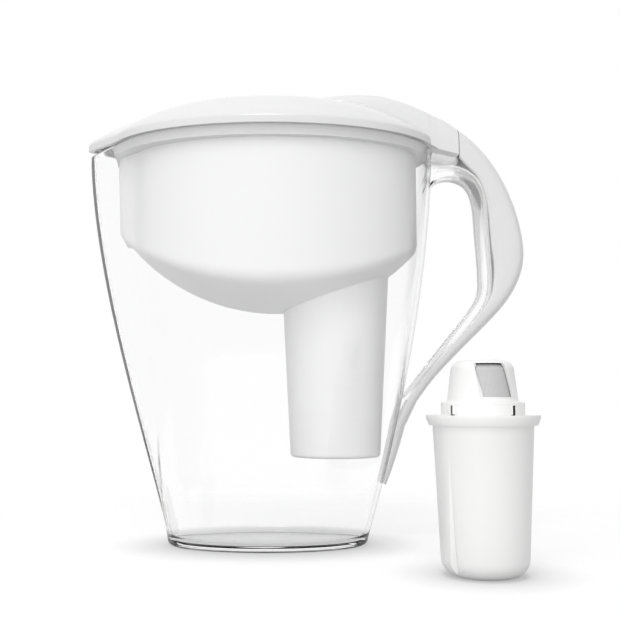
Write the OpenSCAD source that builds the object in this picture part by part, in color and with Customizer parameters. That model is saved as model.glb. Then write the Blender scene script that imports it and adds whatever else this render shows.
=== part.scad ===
// Water filter pitcher with a flip lid: clear jug, funnel with a filter cartridge, domed lid.
// Millimetres, +Z up. The spout points to -X and the handle to +X.
// The origin is the centre of the foot, on the table.

/* [Jug] */
// Height of the rim above the table
rim_h = 220; // [200:1:240]
// From the middle to the tip of the spout, at the rim
spout_reach = 101.3; // [96:0.1:106]
// From the middle to the wall at the handle, at the rim
back_reach = 93.3; // [89:0.1:98]
// Width of the body at the rim
rim_w = 117; // [112:1:126]
// From the middle to the wall under the spout, at the foot
foot_spout = 54.3; // [50:0.1:60]
// From the middle to the wall under the handle, at the foot
foot_back = 56; // [50:0.1:60]
// Width of the body at the foot
foot_w = 67; // [60:1:76]
// Thickness of the jug's wall
wall = 2.4; // [2:0.1:3]
// Thickness of the jug's floor
floor_t = 3; // [2.4:0.1:4]
// Chamfer round the foot
foot_chamfer = 3.4; // [2:0.1:4]
// How far the spout stands out from the oval body
spout_overhang = 13.5; // [10:0.1:16]
// Half of the spout's width where its sides meet the oval body
spout_half_w = 21; // [18:0.5:24]
// How far the pouring lip dips below the rim
lip_dip = 2.5; // [0:0.1:4]

/* [Handle] */
// Thickness of the clear bar that the fingers close on
bar_t = 7.6; // [6:0.1:7.8]
// Thickness of the clear bar at its lower end
bar_low_t = 4; // [3:0.1:4.4]
// Width of the clear bar
bar_w = 18; // [15:0.5:19]
// Width of the clear bar at its lower end
bar_low_w = 12; // [9:0.5:13]
// Thickness of the clear web behind the bar
web_t = 4; // [3:0.1:6]
// Wall of the white handle cover
cover_t = 2.4; // [1.8:0.1:2.8]
// Half of the cover's width where it meets the lid
cover_half_w = 16; // [14:0.1:18]
// Half of the cover's width at the grip
grip_half_w = 14; // [12.5:0.1:16]
// Half of the cover's width at its lower tip
tail_half_w = 5; // [4:0.1:8]

/* [Funnel] */
// Wall of the funnel
funnel_t = 1.8; // [1.4:0.1:2.4]
// Least gap between the funnel and the jug's wall
funnel_gap = 1.2; // [0.8:0.1:3]
// From the middle to the funnel's blunt end at the spout
funnel_reach = 81.5; // [78:0.1:84]
// Radius of the rounded bottom of the bowl
bowl_r = 108; // [100:1:120]
// Lowest point of the bowl, above the table
bowl_z = 127.7; // [122:0.1:134]
// From the jug's wall at the handle to the middle of the filter
filter_back = 55.3; // [52:0.1:60]
// Wall of the sleeve round the cartridge's flange
pocket_t = 2.46; // [2.2:0.01:2.9]
// Room for water in the sleeve, below the cartridge
sleeve_room = 9.4; // [6:0.1:10.5]
// How much the sleeve's radius grows for each millimetre of height
sleeve_draft = 0.0505; // [0.045:0.0005:0.055]

/* [Lid] */
// Height of the upright skirt round the lid
skirt_h = 4.6; // [3.5:0.1:6]
// Height of the dome above the skirt
dome_h = 21; // [18:0.5:26]
// Wall of the lid
lid_t = 2.2; // [1.8:0.1:2.8]
// How far the lid stands out past the jug's rim
lid_lip = 1.2; // [0.8:0.1:2.5]
// Length of the flip hatch
hatch_l = 64; // [56:1:70]
// Width of the flip hatch
hatch_w = 40; // [36:1:44]
// Where the middle of the hatch is along the pitcher
hatch_x = -14; // [-18:1:-10]
// Diameter of the hatch's hinge pins
pin_d = 3; // [2.4:0.1:3.6]

/* [Cartridge] */
// Radius of the cartridge's flange
flange_r = 26; // [25:0.1:26.3]
// Height of the cup below the flange
cup_h = 67.5; // [62:0.5:70]
// Height of the cap above the flange
cap_h = 25; // [22:0.5:29]
// Wall of the cup
cup_t = 1.4; // [1:0.1:2]
// Radius of the rounding round the cup's foot
foot_round = 8; // [5:0.5:9]
// Radius of the rounding round the cap's top
cap_round = 5; // [3:0.5:6]
// Where the spare cartridge stands, along the pitcher
spare_x = 103.5; // [100:0.5:150]
// How far in front of the pitcher the spare cartridge stands
spare_y = 92; // [86:1:120]

/* [Hidden] */
$fn = 64;

// Clearances between pieces
seat_gap = 0.3;
fit_gap = 0.4;
pin_gap = 0.06;

// Points round an outline: along one side of the spout, and along one side of the oval
side_n = 4;
oval_n = 18;

function lerp(a, b, t) = a + (b - a) * t;

// A curve through the points p: whole numbers of t give the points themselves.
function spline(p, t) =
    let (
        n = len(p) - 1,
        i = min(floor(t), n - 1),
        f = t - i,
        a = p[max(i - 1, 0)],
        b = p[i],
        c = p[i + 1],
        d = p[min(i + 2, n)]
    )
    ((2 * b) + (c - a) * f + (2 * a - 5 * b + 4 * c - d) * f * f
        + (3 * b - a - 3 * c + d) * f * f * f) / 2;

// ---- The jug's form: an oval that flares upwards, with a spout like the bow of a boat ----

function level(z) = max(0, min(1, (z - foot_chamfer) / (rim_h - foot_chamfer)));
function flare(z, start, power) = 1 - pow(1 - pow(level(z), start), power);
function spout_x(z) = -lerp(foot_spout, spout_reach, flare(z, 1.15, 1.65));
function back_x(z) = lerp(foot_back, back_reach, flare(z, 1, 1.7));
function half_w(z) = lerp(foot_w, rim_w, flare(z, 1, 1.7)) / 2;
function overhang(z) = spout_overhang * pow(1 - pow(1 - level(z), 3), 1.6);
function oval_left(z) = spout_x(z) + overhang(z);
function oval_a(z) = (back_x(z) - oval_left(z)) / 2;
function oval_c(z) = (back_x(z) + oval_left(z)) / 2;

tip_round = 1.5;

// Half of an outline, from the spout's tip to the handle: an oval with the spout's two straight
// sides, where "tip", "left" and "right" are places along X, "b" is the oval's half width and
// "side" is the spout's half width where its sides meet the oval.
function half_outline(tip, left, right, b, side) =
    let (
        a = (right - left) / 2,
        c = (right + left) / 2,
        crease = asin(side / b),
        run = (c - a * cos(crease) - tip) / (norm([side, tip_round]) - tip_round)
    )
    concat(
        [for (j = [0:side_n - 1]) let (y = side * j / side_n)
            [min(c - a * sqrt(1 - pow(y / b, 2)), tip + (norm([y, tip_round]) - tip_round) * run), y]],
        [for (j = [0:oval_n]) let (u = lerp(crease, 180, j / oval_n)) [c - a * cos(u), b * sin(u)]]
    );

// How much further in the spout's tip goes when its sides go in by 1
spout_point = norm([spout_half_w, spout_overhang + 6]) / spout_half_w;
function nested(tip, left, right, b, i) =
    half_outline(tip + i * spout_point, left + i, right - i, b - i, spout_half_w - i * 0.6);

function mirrored(half) = concat(half, [for (j = [len(half) - 2:-1:1]) [half[j].x, -half[j].y]]);

// The jug's outline at the height z, "i" inside its outer face
function outline(z, i) = mirrored(nested(spout_x(z), oval_left(z), back_x(z), half_w(z), i));

function dip(p, z) = p.x > 0 ? 0 :
    lip_dip * pow(max(0, 1 - abs(p.y) / spout_half_w), 1.3) * pow(z / rim_h, 12);
function ring(z, i) = [for (p = outline(z, i)) [p.x, p.y, z - dip(p, z)]];

// ---- Skins over rings of points ----

function side_faces(count, n) = [
    for (k = [0:count - 2], j = [0:n - 1]) [k * n + j, k * n + (j + 1) % n, (k + 1) * n + j],
    for (k = [0:count - 2], j = [0:n - 1])
        [k * n + (j + 1) % n, (k + 1) * n + (j + 1) % n, (k + 1) * n + j]
];

function flatten(rings) = [for (r = rings) for (p = r) p];

function middle(r) =
    let (n = len(r))
    [(r[0].x + r[n / 2].x) / 2, 0, (r[0].z + r[n / 2].z) / 2];

// A solid whose skin runs over the rings and closes over the first and the last of them
module skin(rings) {
    n = len(rings[0]);
    last = (len(rings) - 1) * n;
    points = concat(flatten(rings), [middle(rings[0]), middle(rings[len(rings) - 1])]);
    ends = [
        for (j = [0:n - 1]) [len(points) - 2, (j + 1) % n, j],
        for (j = [0:n - 1]) [len(points) - 1, last + j, last + (j + 1) % n]
    ];
    polyhedron(points, concat(side_faces(len(rings), n), ends));
}

// A solid like a tyre: the skin runs over the rings and back to the first one
module hoop(rings) {
    polyhedron(flatten(rings), [for (f = side_faces(len(rings) + 1, len(rings[0])))
        [for (i = f) i % (len(rings) * len(rings[0]))]]);
}

// A gutter: each ring is the gutter's outside followed by its inside, walked back
module gutter(rings) {
    n = len(rings[0]);
    last = (len(rings) - 1) * n;
    ends = [
        for (j = [0:n / 2 - 2]) [j, n - 1 - j, n - 2 - j],
        for (j = [0:n / 2 - 2]) [j, n - 2 - j, j + 1],
        for (j = [0:n / 2 - 2]) [last + j, last + n - 2 - j, last + n - 1 - j],
        for (j = [0:n / 2 - 2]) [last + j, last + j + 1, last + n - 2 - j]
    ];
    polyhedron(flatten(rings), concat(side_faces(len(rings), n), ends));
}

// ---- Jug ----

edge_r = 0.8;
wall_steps = [12, 26, 44, 64, 86, 110, 136, 162, 186, 206];

module jug_shell() {
    outside = [for (z = wall_steps) ring(z * rim_h / 220, 0)];
    inside = [for (k = [len(wall_steps) - 1:-1:0]) ring(wall_steps[k] * rim_h / 220, wall)];
    skin(concat(
        [ring(0, foot_chamfer), ring(foot_chamfer, 0)],
        outside,
        [ring(rim_h - edge_r, 0), ring(rim_h, edge_r), ring(rim_h, wall - edge_r), ring(rim_h - edge_r, wall)],
        inside,
        [ring(floor_t + 2, wall), ring(floor_t, wall + 3)]
    ));
}

// The handle's lines, seen from the side. Each point is how far it stands out from the jug's wall
// and how far it lies below the rim. First, where the fingers touch the clear handle:
hole_points = [
    [-1.2, 22.2], [2.6, 18], [8.6, 16], [15.2, 17], [21, 21.5], [24.7, 31], [27.4, 48],
    [31.3, 70], [32.1, 82.5], [27.1, 93.5], [18.4, 107], [8.6, 123.1], [3.1, 132.7], [-0.7, 139.5]
];
// The outer line of the white cover, and its edge: each pair of points faces each other.
lid_tail = 13.6;
cover_start = lid_tail + fit_gap;
back_points = [
    [cover_start, -12.4], [22.5, -5.6], [31.1, 4], [38.9, 15.6], [45.9, 29.6], [51.2, 44], [54.5, 57.6],
    [54.8, 68], [52.3, 78.4], [47.2, 88.4], [39.2, 99], [26.6, 114.1], [15.5, 128.8], [8.4, 141.5]
];
edge_points = [
    [cover_start, 4.8], [18.6, 9.4], [25.3, 15], [32.1, 23], [38.9, 33.4], [44.2, 45], [47.8, 57.6],
    [47.8, 67], [45.3, 76.8], [40.5, 86], [32.7, 96.4], [20.5, 112], [10, 127.4], [3.2, 140.6]
];
// How deep the cover's cheeks reach past that edge, towards the fingers
cheek = [1.4, 1.4, 2.2, 4.6, 8, 10.6, 11.8, 9.8, 6.4, 2.6, 0.4, 0.2, 0.2, 0.2];
// How far below the rim the cover's tail lies on the jug's wall, and how thick it is there
tail_points = [[154, 4.2], [168, 3.4], [179, 2.4], [187, 1.4]];

function from_wall(points) = [for (p = points) [back_x(rim_h - p.y) + p.x, rim_h - p.y]];
hole_line = from_wall(hole_points);
cover_back = from_wall(back_points);
cover_edge = from_wall(edge_points);
lid_end_x = back_reach + lid_tail;
cover_start_x = back_reach + cover_start;

function unit(v) = v / norm(v);
function slope(p, t) = unit(spline(p, t + 0.05) - spline(p, t - 0.05));

bar_steps = 26;
bar_side = 4;
bar_last = len(hole_points) - 1;

// The bar grows out of the jug's wall to its full thickness, and gets thinner towards its lower end
bar_root = [1, 1.2];
function bar_depth(t) = min(
    lerp(bar_root[0], bar_t, min(1, t / bar_root[1])),
    lerp(bar_t, bar_low_t, pow(t / bar_last, 3))
);

module handle_bar() {
    skin([for (k = [0:bar_steps]) let (
        t = lerp(0.05, bar_last - 0.05, k / bar_steps),
        r = bar_depth(t) / 2,
        p = spline(hole_line, t),
        d = slope(hole_line, t),
        out = [-d.y, d.x],
        m = p + out * r,
        half = lerp(bar_w, bar_low_w, k / bar_steps) / 2
    ) [for (s = [1, -1], j = [0:bar_side]) let (
        u = s * (90 - 180 * j / bar_side),
        y = s * (half - r + r * cos(u)),
        h = r * sin(u)
    ) [m.x + out.x * h, y, m.y + out.y * h]]]);
}

// The web between the clear bar and the cover, and the ledge under the lid's tail
ledge_z = [rim_h - 2, rim_h - 5.4];
ledge_t = 2.6;

module handle_web() {
    steps = 22;
    inner = [for (k = [0:steps]) let (
        t = lerp(0.6, bar_last - 0.3, k / steps),
        d = slope(hole_line, t)
    ) spline(hole_line, t) + [-d.y, d.x] * bar_depth(t) * 0.6];
    reach = cover_t + fit_gap;
    outer = [for (k = [0:steps]) let (
        t = lerp(0.12, len(cover_back) - 2.05, k / steps),
        b = spline(cover_back, t),
        e = spline(cover_edge, t)
    ) b + unit(e - b) * reach];
    root_z = hole_line[0].y;
    root = [[back_x(root_z) - wall / 2, root_z + 1], [back_x(rim_h) - wall / 2, ledge_z[0] - ledge_t / 2],
        [cover_start_x + 0.6, ledge_z[1] - ledge_t / 2]];
    rotate([90, 0, 0]) linear_extrude(web_t, center = true)
        polygon(concat([for (p = inner) p], [for (k = [steps:-1:0]) outer[k]], [root[2], root[1], root[0]]));
}

module handle_ledge() {
    x = [back_x(rim_h) - 1.6, cover_start_x - 0.2];
    rotate([90, 0, 0]) linear_extrude(bar_w, center = true) polygon([
        [x[0], ledge_z[0]], [x[1], ledge_z[1]], [x[1], ledge_z[1] - ledge_t], [x[0], ledge_z[0] - ledge_t]
    ]);
}

module jug() {
    color([0.85, 0.92, 0.95, 0.4]) {
        jug_shell();
        handle_bar();
        handle_web();
        handle_ledge();
    }
}

// ---- Handle cover ----

crown_n = 4;

// One ring of the cover: "b" on the outer line, "e" on the edge line, "w" half the width there,
// "deep" the depth of the cheeks, and sag(y) how far the seat falls away to the sides.
function crown(w, c) = [for (j = [-crown_n:crown_n]) let (u = 90 * j / crown_n)
    [w * sign(u) * pow(abs(sin(u)), 0.75), c * pow(cos(u), 0.62)]];
function half_section(w, c, deep, cheek_in, t) = concat(
    [[-(w - cheek_in) + t, -deep], [-(w - cheek_in * 0.2) + t, -deep / 2]],
    [for (p = crown(w - t, max(0.01, c - t))) p],
    [[(w - cheek_in * 0.2) - t, -deep / 2], [(w - cheek_in) - t, -deep]]
);
function cover_section(w, c, deep, cheek_in, t) = concat(
    half_section(w, c, deep, cheek_in, 0),
    [for (p = [for (k = [crown_n * 2 + 4:-1:0]) half_section(w, c, deep, cheek_in, t)[k]]) p]
);
function placed(section, e, out, z, hugs) = [for (p = section) let (
    drop = hugs * oval_a(z) * (1 - sqrt(1 - pow(p.x / half_w(z), 2)))
) [e.x + out.x * (p.y - drop), p.x, e.y + out.y * (p.y - drop)]];

cover_steps = 26;

module handle_cover() {
    n = len(cover_back) - 1;
    free = [for (k = [0:cover_steps]) let (
        t = n * k / cover_steps,
        b = spline(cover_back, t),
        e = spline(cover_edge, t),
        w = t < 6 ? lerp(cover_half_w, grip_half_w, t / 6) : lerp(grip_half_w, tail_half_w + 4, (t - 6) / (n - 6)),
        deep = lookup(t, [for (i = [0:n]) [i, cheek[i]]])
    ) placed(cover_section(w, norm(b - e), deep, deep * 0.22, cover_t), e, unit(b - e), e.y, 0)];
    tail = [for (k = [0:len(tail_points) - 1]) let (
        z = rim_h - tail_points[k].x,
        e = [back_x(z) + seat_gap * 2, z],
        w = lerp(tail_half_w + 3.4, tail_half_w, k / (len(tail_points) - 1))
    ) placed(cover_section(w, tail_points[k].y, 0.2, 0, cover_t), e, unit([1, -0.42]), z, 1)];
    color([0.97, 0.97, 0.97]) gutter(concat(free, tail));
}

// ---- Funnel: an oval bowl with a rounded bottom, and the sleeve that holds the cartridge ----

// The funnel follows the jug's outline where its straight wall ends, with a blunt end at the spout.
belly_h = 22;
wall_foot_z = bowl_z + belly_h;
function blunt(points, reach) = [for (p = points) [max(p.x, -reach), p.y]];
function funnel_outline(i) = blunt(outline(wall_foot_z, wall + funnel_gap + i), funnel_reach - i);

module funnel_prism(i, z0, z1) {
    translate([0, 0, z0]) linear_extrude(z1 - z0) polygon(funnel_outline(i));
}

bowl_x = 5;
bowl_centre_z = bowl_z + bowl_r;
sleeve_top_z = wall_foot_z + 2;
seat_z = bowl_z - 1.4;
sleeve_z = seat_z + seat_gap - cup_h - sleeve_room - funnel_t;
sleeve_r = flange_r + fit_gap + pocket_t - (seat_z - sleeve_z) * sleeve_draft;
filter_x = back_reach - filter_back;
flange_t = 4.6;
rim_plate_t = 1.8;
collar_h = 5;
cup_top_r = flange_r * 0.885;
cup_foot_r = flange_r * 0.77;
seat_r = cup_top_r + fit_gap;
outlet_r = 2;

function sleeve_radius(z) = sleeve_r + (z - sleeve_z) * sleeve_draft;

// The bowl's outside, or the room "i" inside it: straight walls over a round bottom
module bowl(i) {
    intersection() {
        funnel_prism(i, bowl_z - 10, rim_h + rim_plate_t + i);
        translate([bowl_x, 0, bowl_centre_z]) sphere(bowl_r - i, $fn = 128);
    }
}

module sleeve_inside() {
    // The pocket for the flange, down to its seat, and the room for the cup below the seat
    rotate_extrude($fn = 96) polygon([
        [0, sleeve_z + funnel_t], [sleeve_radius(sleeve_z) - funnel_t - 2, sleeve_z + funnel_t],
        [sleeve_radius(sleeve_z) - funnel_t, sleeve_z + funnel_t + 2],
        [sleeve_radius(seat_z - 6) - funnel_t, seat_z - 6],
        [seat_r, seat_z - 2.4], [seat_r, seat_z], [flange_r + fit_gap, seat_z],
        [sleeve_radius(sleeve_top_z) - funnel_t, sleeve_top_z + 6], [0, sleeve_top_z + 6]
    ]);
}

module sleeve_outside() {
    rotate_extrude($fn = 96) polygon([
        [0, sleeve_z], [sleeve_radius(sleeve_z) - 2, sleeve_z], [sleeve_radius(sleeve_z), sleeve_z + 2],
        [sleeve_radius(sleeve_top_z), sleeve_top_z], [0, sleeve_top_z]
    ]);
}

// The plate that hangs the funnel on the jug's rim, and the collar that centres it in the rim
plate_inset = 1.5;
function plate_outline(i) = blunt(outline(rim_h, i), funnel_reach + 6);
function collar_outline(i) = blunt(outline(rim_h - collar_h, i), funnel_reach + 3);

module funnel() {
    color([0.96, 0.96, 0.96]) difference() {
        union() {
            bowl(0);
            translate([filter_x, 0, 0]) sleeve_outside();
            translate([0, 0, rim_h]) linear_extrude(rim_plate_t) polygon(plate_outline(plate_inset));
            translate([0, 0, rim_h - collar_h]) linear_extrude(collar_h + 0.5)
                polygon(collar_outline(wall + fit_gap));
        }
        bowl(funnel_t);
        translate([filter_x, 0, 0]) sleeve_inside();
        translate([filter_x, 0, sleeve_z - 1]) for (k = [0:5]) rotate(k * 60) translate([12, 0, 0])
            cylinder(r = outlet_r, h = funnel_t + 4, $fn = 24);
    }
}

// ---- Lid ----

lid_z = rim_h + seat_gap;
lid_seat_z = rim_h + rim_plate_t + seat_gap;
dome_z = lid_z + skirt_h;
lid_c = oval_c(rim_h);
dome_power = 3.4;

// The lid's outline, "i" inside its outer face
function lid_half(i) = nested(spout_x(rim_h), oval_left(rim_h), back_reach, rim_w / 2, i - lid_lip);
function lid_outline(i) = mirrored(lid_half(i));
lid_crease = lid_half(0)[side_n];
lid_tip = lid_half(0)[0].x;
lid_run = (lid_crease.x - lid_tip) / (norm([lid_crease.y, tip_round]) - tip_round);

// How far out a place on the lid is: 0 in the middle and 1 on the outline
function out(p) =
    lid_c - p.x > abs(p.y) * (lid_c - lid_crease.x) / lid_crease.y
        ? (lid_c - p.x + (norm([p.y, tip_round]) - tip_round) * lid_run) / (lid_c - lid_tip)
        : norm([(p.x - lid_c) / (oval_a(rim_h) + lid_lip), p.y / (rim_w / 2 + lid_lip)]);
function dome(p) = dome_z + dome_h * (1 - pow(min(1, out(p)), dome_power));

function at_height(outline, z) = [for (p = outline) [p.x, p.y, z]];
function on_dome(outline, drop) = [for (p = outline) [p.x, p.y, dome(p) - drop]];
function between(a, b, t) = [for (j = [0:len(a) - 1]) lerp(a[j], b[j], t)];

hatch_gap = 0.4;
hinge_gap = 1.9;
hinge_back = 4;
hinge_drop = 4.4;
hatch_front = hatch_x - hatch_l / 2;
hatch_rear = hatch_x + hatch_l / 2;
hatch_corner = 1.2;
hinge_x = hatch_rear - hinge_back;
hinge_z = dome([hinge_x, 0]) - hinge_drop;

// The hatch is round in front, and has straight sides and a straight rear edge at the hinge.
// It has as many points as an outline.
round_n = side_n + oval_n - 8;
function hatch_shape(front, rear, b) = let (m = front + (rear - front) * 0.6) mirrored(concat(
    [for (j = [0:round_n]) [m - (m - front) * cos(90 * j / round_n), b * sin(90 * j / round_n)]],
    [[lerp(m, rear, 0.5), b], [rear - hatch_corner, b], [rear - hatch_corner * 0.3, b - hatch_corner * 0.3]],
    [for (j = [4:-1:0]) [rear, (b - hatch_corner) * j / 4]]
));
function hatch_outline() = hatch_shape(hatch_front, hatch_rear, hatch_w / 2);
function opening() = hatch_shape(hatch_front - hatch_gap, hatch_rear + hinge_gap, hatch_w / 2 + hatch_gap);

ring_t = 1.4;
seat_w = 1.4;

module lid_shell() {
    mouth = opening();
    rim = lid_outline(0);
    skirt_in = lid_outline(lid_t);
    step = lid_outline(lid_t + seat_w);
    ring_out = funnel_outline(funnel_t + fit_gap);
    ring_in = funnel_outline(funnel_t + fit_gap + ring_t);
    hoop(concat(
        [on_dome(mouth, lid_t)],
        [for (t = [0.25, 0.5, 0.75, 1]) on_dome(between(mouth, ring_in, t), lid_t)],
        [at_height(ring_in, lid_z), at_height(ring_out, lid_z)],
        [on_dome(ring_out, lid_t), on_dome(step, lid_t * 1.3)],
        [at_height(step, lid_seat_z), at_height(skirt_in, lid_seat_z), at_height(skirt_in, lid_z)],
        [at_height(rim, lid_z)],
        [for (t = [0, 0.08, 0.2, 0.34, 0.5, 0.66, 0.82, 1]) on_dome(between(rim, mouth, t), 0)]
    ));
}

// The strap that rises from the dome behind the hatch and runs out over the handle. strap_rise
// gives places along the strap_span between the hatch and the wall at the handle, and heights
// above the lid's lower edge. The tail starts behind the skirt, with heights of its own, and its
// lower edge falls towards the handle's cover.
strap_gap = 4;
strap_span = 71.3;
strap_rise = [[0, 27], [12, 29.6], [24.8, 31.3], [36, 31.4], [43.6, 30.7], [53.3, 27.9], [61.8, 24.7]];
tail_rise = [20, 16.7, 12.1];
strap_run = back_reach - hatch_rear - strap_gap;
strap_line = concat(
    [for (p = strap_rise) [p.x * strap_run / strap_span - strap_run, p.y]],
    [for (j = [0:2]) [lerp(lid_lip, lid_tail, j / 2), tail_rise[j]]]
);
tail_start = 7;
tail_drop = [1.1, 4.5];
strap_sink = 1.7;
strap_cheek = 0.6;

// The strap between two points of its line
module strap(from, to, steps) {
    gutter([for (k = [0:steps]) let (
        t = lerp(from, to, k / steps),
        p = spline(strap_line, t),
        x = back_reach + p.x,
        top = lid_z + p.y,
        w = lerp(cover_half_w + 1.5, cover_half_w, t / (len(strap_line) - 1)),
        low = from < tail_start ? max(dome([x, w]) - strap_sink, lid_z + strap_cheek)
            : lid_z - lerp(tail_drop[0], tail_drop[1], (p.x - lid_lip) / (lid_tail - lid_lip))
    ) [for (q = cover_section(w, max(1, top - low), strap_cheek, 0, cover_t)) [x, q.x, low + q.y]]]);
}

ear_y = [hatch_w / 2 + 1, hatch_w / 2 + 4];
ear_r = 3.4;

module hinge_ears() {
    top = dome([hinge_x, ear_y[1]]) - lid_t / 2;
    for (side = [-1, 1]) translate([hinge_x, side * (ear_y[0] + ear_y[1]) / 2, 0])
        rotate([90, 0, 0]) linear_extrude(ear_y[1] - ear_y[0], center = true) union() {
            translate([0, hinge_z]) circle(ear_r, $fn = 48);
            translate([-ear_r, hinge_z]) square([ear_r * 2, top - hinge_z]);
        }
}

module hinge_bore(r) {
    translate([hinge_x, 0, hinge_z]) rotate([90, 0, 0]) cylinder(r = r, h = 2 * ear_y[1] + 1, center = true, $fn = 48);
}

module lid() {
    color([0.97, 0.97, 0.97]) difference() {
        union() {
            lid_shell();
            strap(0, tail_start, 16);
            hinge_ears();
        }
        hinge_bore(pin_d / 2 + pin_gap);
    }
}

module tail() {
    color([0.97, 0.97, 0.97]) strap(tail_start, len(strap_line) - 1, 5);
}

// ---- Hatch ----

hatch_t = lid_t;
arm_t = 2.4;
arm_y = hatch_w / 2 - 3;
grip_r = 1.5;
grip_in = 5;

module hatch_plate() {
    edge = hatch_outline();
    centre = [for (p = edge) [hatch_x, 0]];
    skin(concat(
        [for (t = [0.9, 0.6, 0.3, 0]) on_dome(between(edge, centre, t), hatch_t)],
        [for (t = [0, 0.3, 0.6, 0.9]) on_dome(between(edge, centre, t), 0)]
    ));
}

module hatch_arms() {
    top = dome([hinge_x, arm_y]) - hatch_t / 2;
    for (side = [-1, 1]) translate([hinge_x, side * arm_y, 0])
        rotate([90, 0, 0]) linear_extrude(arm_t, center = true) union() {
            translate([0, hinge_z]) circle(pin_d / 2 + 1, $fn = 48);
            polygon([[-9, top], [-pin_d / 2 - 0.8, hinge_z - 0.8], [pin_d / 2 + 0.8, hinge_z], [pin_d / 2 + 0.8, top]]);
        }
}

module hatch() {
    grip_x = hatch_front + grip_in;
    color([0.97, 0.97, 0.97]) {
        hatch_plate();
        hatch_arms();
        translate([hinge_x, 0, hinge_z]) rotate([90, 0, 0])
            cylinder(d = pin_d, h = 2 * (ear_y[1] - fit_gap / 2), center = true, $fn = 48);
        translate([grip_x, 0, dome([grip_x, 0]) - 0.5]) rotate([90, 0, 0])
            cylinder(r = grip_r, h = hatch_w * 0.4, center = true, $fn = 32);
    }
}

// ---- Cartridge: the origin of each piece is the middle of the flange's underside ----

flange_low_r = flange_r * 0.95;
ring_r = flange_r * 0.734;
dome_r = flange_r * 0.622;
dome_top_r = flange_r * 0.56;
cap_ring_h = 6;
cap_t = 1.3;
deck_r = ring_r - cap_t - 1;
groove_turn = 217;
groove_deep = 2.6;
groove_start = 13;
cup_floor = cup_t + 2;
room_foot_r = cup_foot_r - cup_floor;
filling_r = room_foot_r - groove_deep - seat_gap;
screen_t = 0.8;

// A quarter circle of the radius r round the middle c, from the direction "from"
function quarter(c, r, from, turn = 90) =
    [for (k = [0:5]) let (a = from + turn * k / 5) [c.x + r * cos(a), c.y + r * sin(a)]];

// A three-sided cut that starts as a point under the flange and widens towards the foot
module groove(extra) {
    start_r = lerp(cup_top_r, cup_foot_r, groove_start / cup_h);
    lean = atan((start_r - cup_foot_r + groove_deep) / (cup_h - groove_start));
    for (turn = [0, 180]) rotate(groove_turn + turn) translate([start_r - extra * 1.4, 0, -groove_start])
        rotate([0, 180 + lean, 0]) linear_extrude(cup_h) polygon([[0, 0], [-8, -9.8], [-8, 9.8]]);
}

module cup_body() {
    rotate_extrude($fn = 96) polygon([
        [0, -cup_h],
        each quarter([cup_foot_r - foot_round, -cup_h + foot_round], foot_round, -90),
        [cup_top_r, 0], [flange_low_r, 0], [flange_r, flange_t - 1.4], [flange_r, flange_t], [0, flange_t]
    ]);
}

module cup_room() {
    rotate_extrude($fn = 96) polygon([
        [0, -cup_h + cup_floor], [room_foot_r, -cup_h + cup_floor],
        [cup_top_r - cup_t, 0], [deck_r, flange_t - cup_t], [deck_r, flange_t + 1], [0, flange_t + 1]
    ]);
}

module cup() {
    color([0.97, 0.97, 0.97]) difference() {
        cup_body();
        difference() {
            cup_room();
            groove(cup_t);
        }
        groove(0);
        for (k = [0:7]) rotate(k * 45 + 22.5) translate([7, -0.9, -cup_h - 1]) cube([6, 1.8, cup_floor + 2]);
    }
}

// The two windows in the cap, each about a fifth of the way round and a little slanted
window_turn = -70;
window_lean = 12;
window_w = dome_r * 1.1;
window_low = 3;
window_h = cap_h - cap_ring_h - window_low - cap_round * 0.3;

module cap_windows() {
    middle_z = flange_t + cap_ring_h + window_low + window_h / 2;
    for (turn = [0, 180]) rotate(window_turn + turn) translate([0, 0, middle_z]) rotate([window_lean, 0, 0])
        translate([0, -window_w / 2, -window_h / 2]) cube([dome_r + 2, window_w, window_h]);
}

module cap() {
    top = flange_t + cap_h;
    step = flange_t + cap_ring_h;
    bend = [dome_top_r - cap_round, top - cap_round];
    color([0.97, 0.97, 0.97]) difference() {
        rotate_extrude($fn = 96) polygon([
            [ring_r - cap_t, flange_t], [ring_r, flange_t], [ring_r, step - 0.8], [ring_r - 0.8, step],
            [dome_r + 0.4, step + 0.4], [dome_r, step + 1], each quarter(bend, cap_round, 0), [0, top],
            [0, top - cap_t], each quarter(bend, cap_round - cap_t, 90, -90),
            [dome_r - cap_t, step - cap_t], [ring_r - cap_t, step - cap_t]
        ]);
        cap_windows();
        for (k = [0:3]) rotate(k * 90 + 35) translate([ring_r - cap_t - 1, -0.8, flange_t - 1]) cube([4, 1.6, 5.4]);
    }
}

module cap_screen() {
    // A lattice tube behind the windows: hoops joined by upright bars
    low = flange_t + cap_ring_h - 1;
    high = flange_t + cap_h - 6;
    r = dome_top_r - cap_t - 0.5;
    color([0.6, 0.62, 0.63]) {
        for (k = [0:6]) translate([0, 0, lerp(low, high, k / 6)]) rotate_extrude($fn = 64)
            translate([r - 0.7, 0]) square([0.7, 0.7]);
        for (k = [0:23]) rotate(k * 15) translate([r - 0.6, -0.35, low]) cube([0.5, 0.7, high - low + 0.5]);
    }
}

module outlet_screen() {
    z = -cup_h + cup_floor + seat_gap;
    color([0.75, 0.77, 0.78]) difference() {
        translate([0, 0, z]) cylinder(r = filling_r, h = screen_t, $fn = 64);
        for (k = [0:11]) rotate(k * 30) translate([3, -0.4, z - 1]) cube([8, 0.8, screen_t + 2]);
    }
}

module granule_fill() {
    // The carbon and resin beads, as the room that they fill
    low = -cup_h + cup_floor + screen_t + 2 * seat_gap;
    high = -flange_t;
    color([0.25, 0.24, 0.23]) translate([0, 0, low])
        cylinder(r1 = filling_r, r2 = deck_r - seat_gap, h = high - low, $fn = 64);
}

module installed() {
    translate([filter_x, 0, seat_z + seat_gap]) children();
}

module spare() {
    translate([spare_x, -spare_y, cup_h]) children();
}

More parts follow.
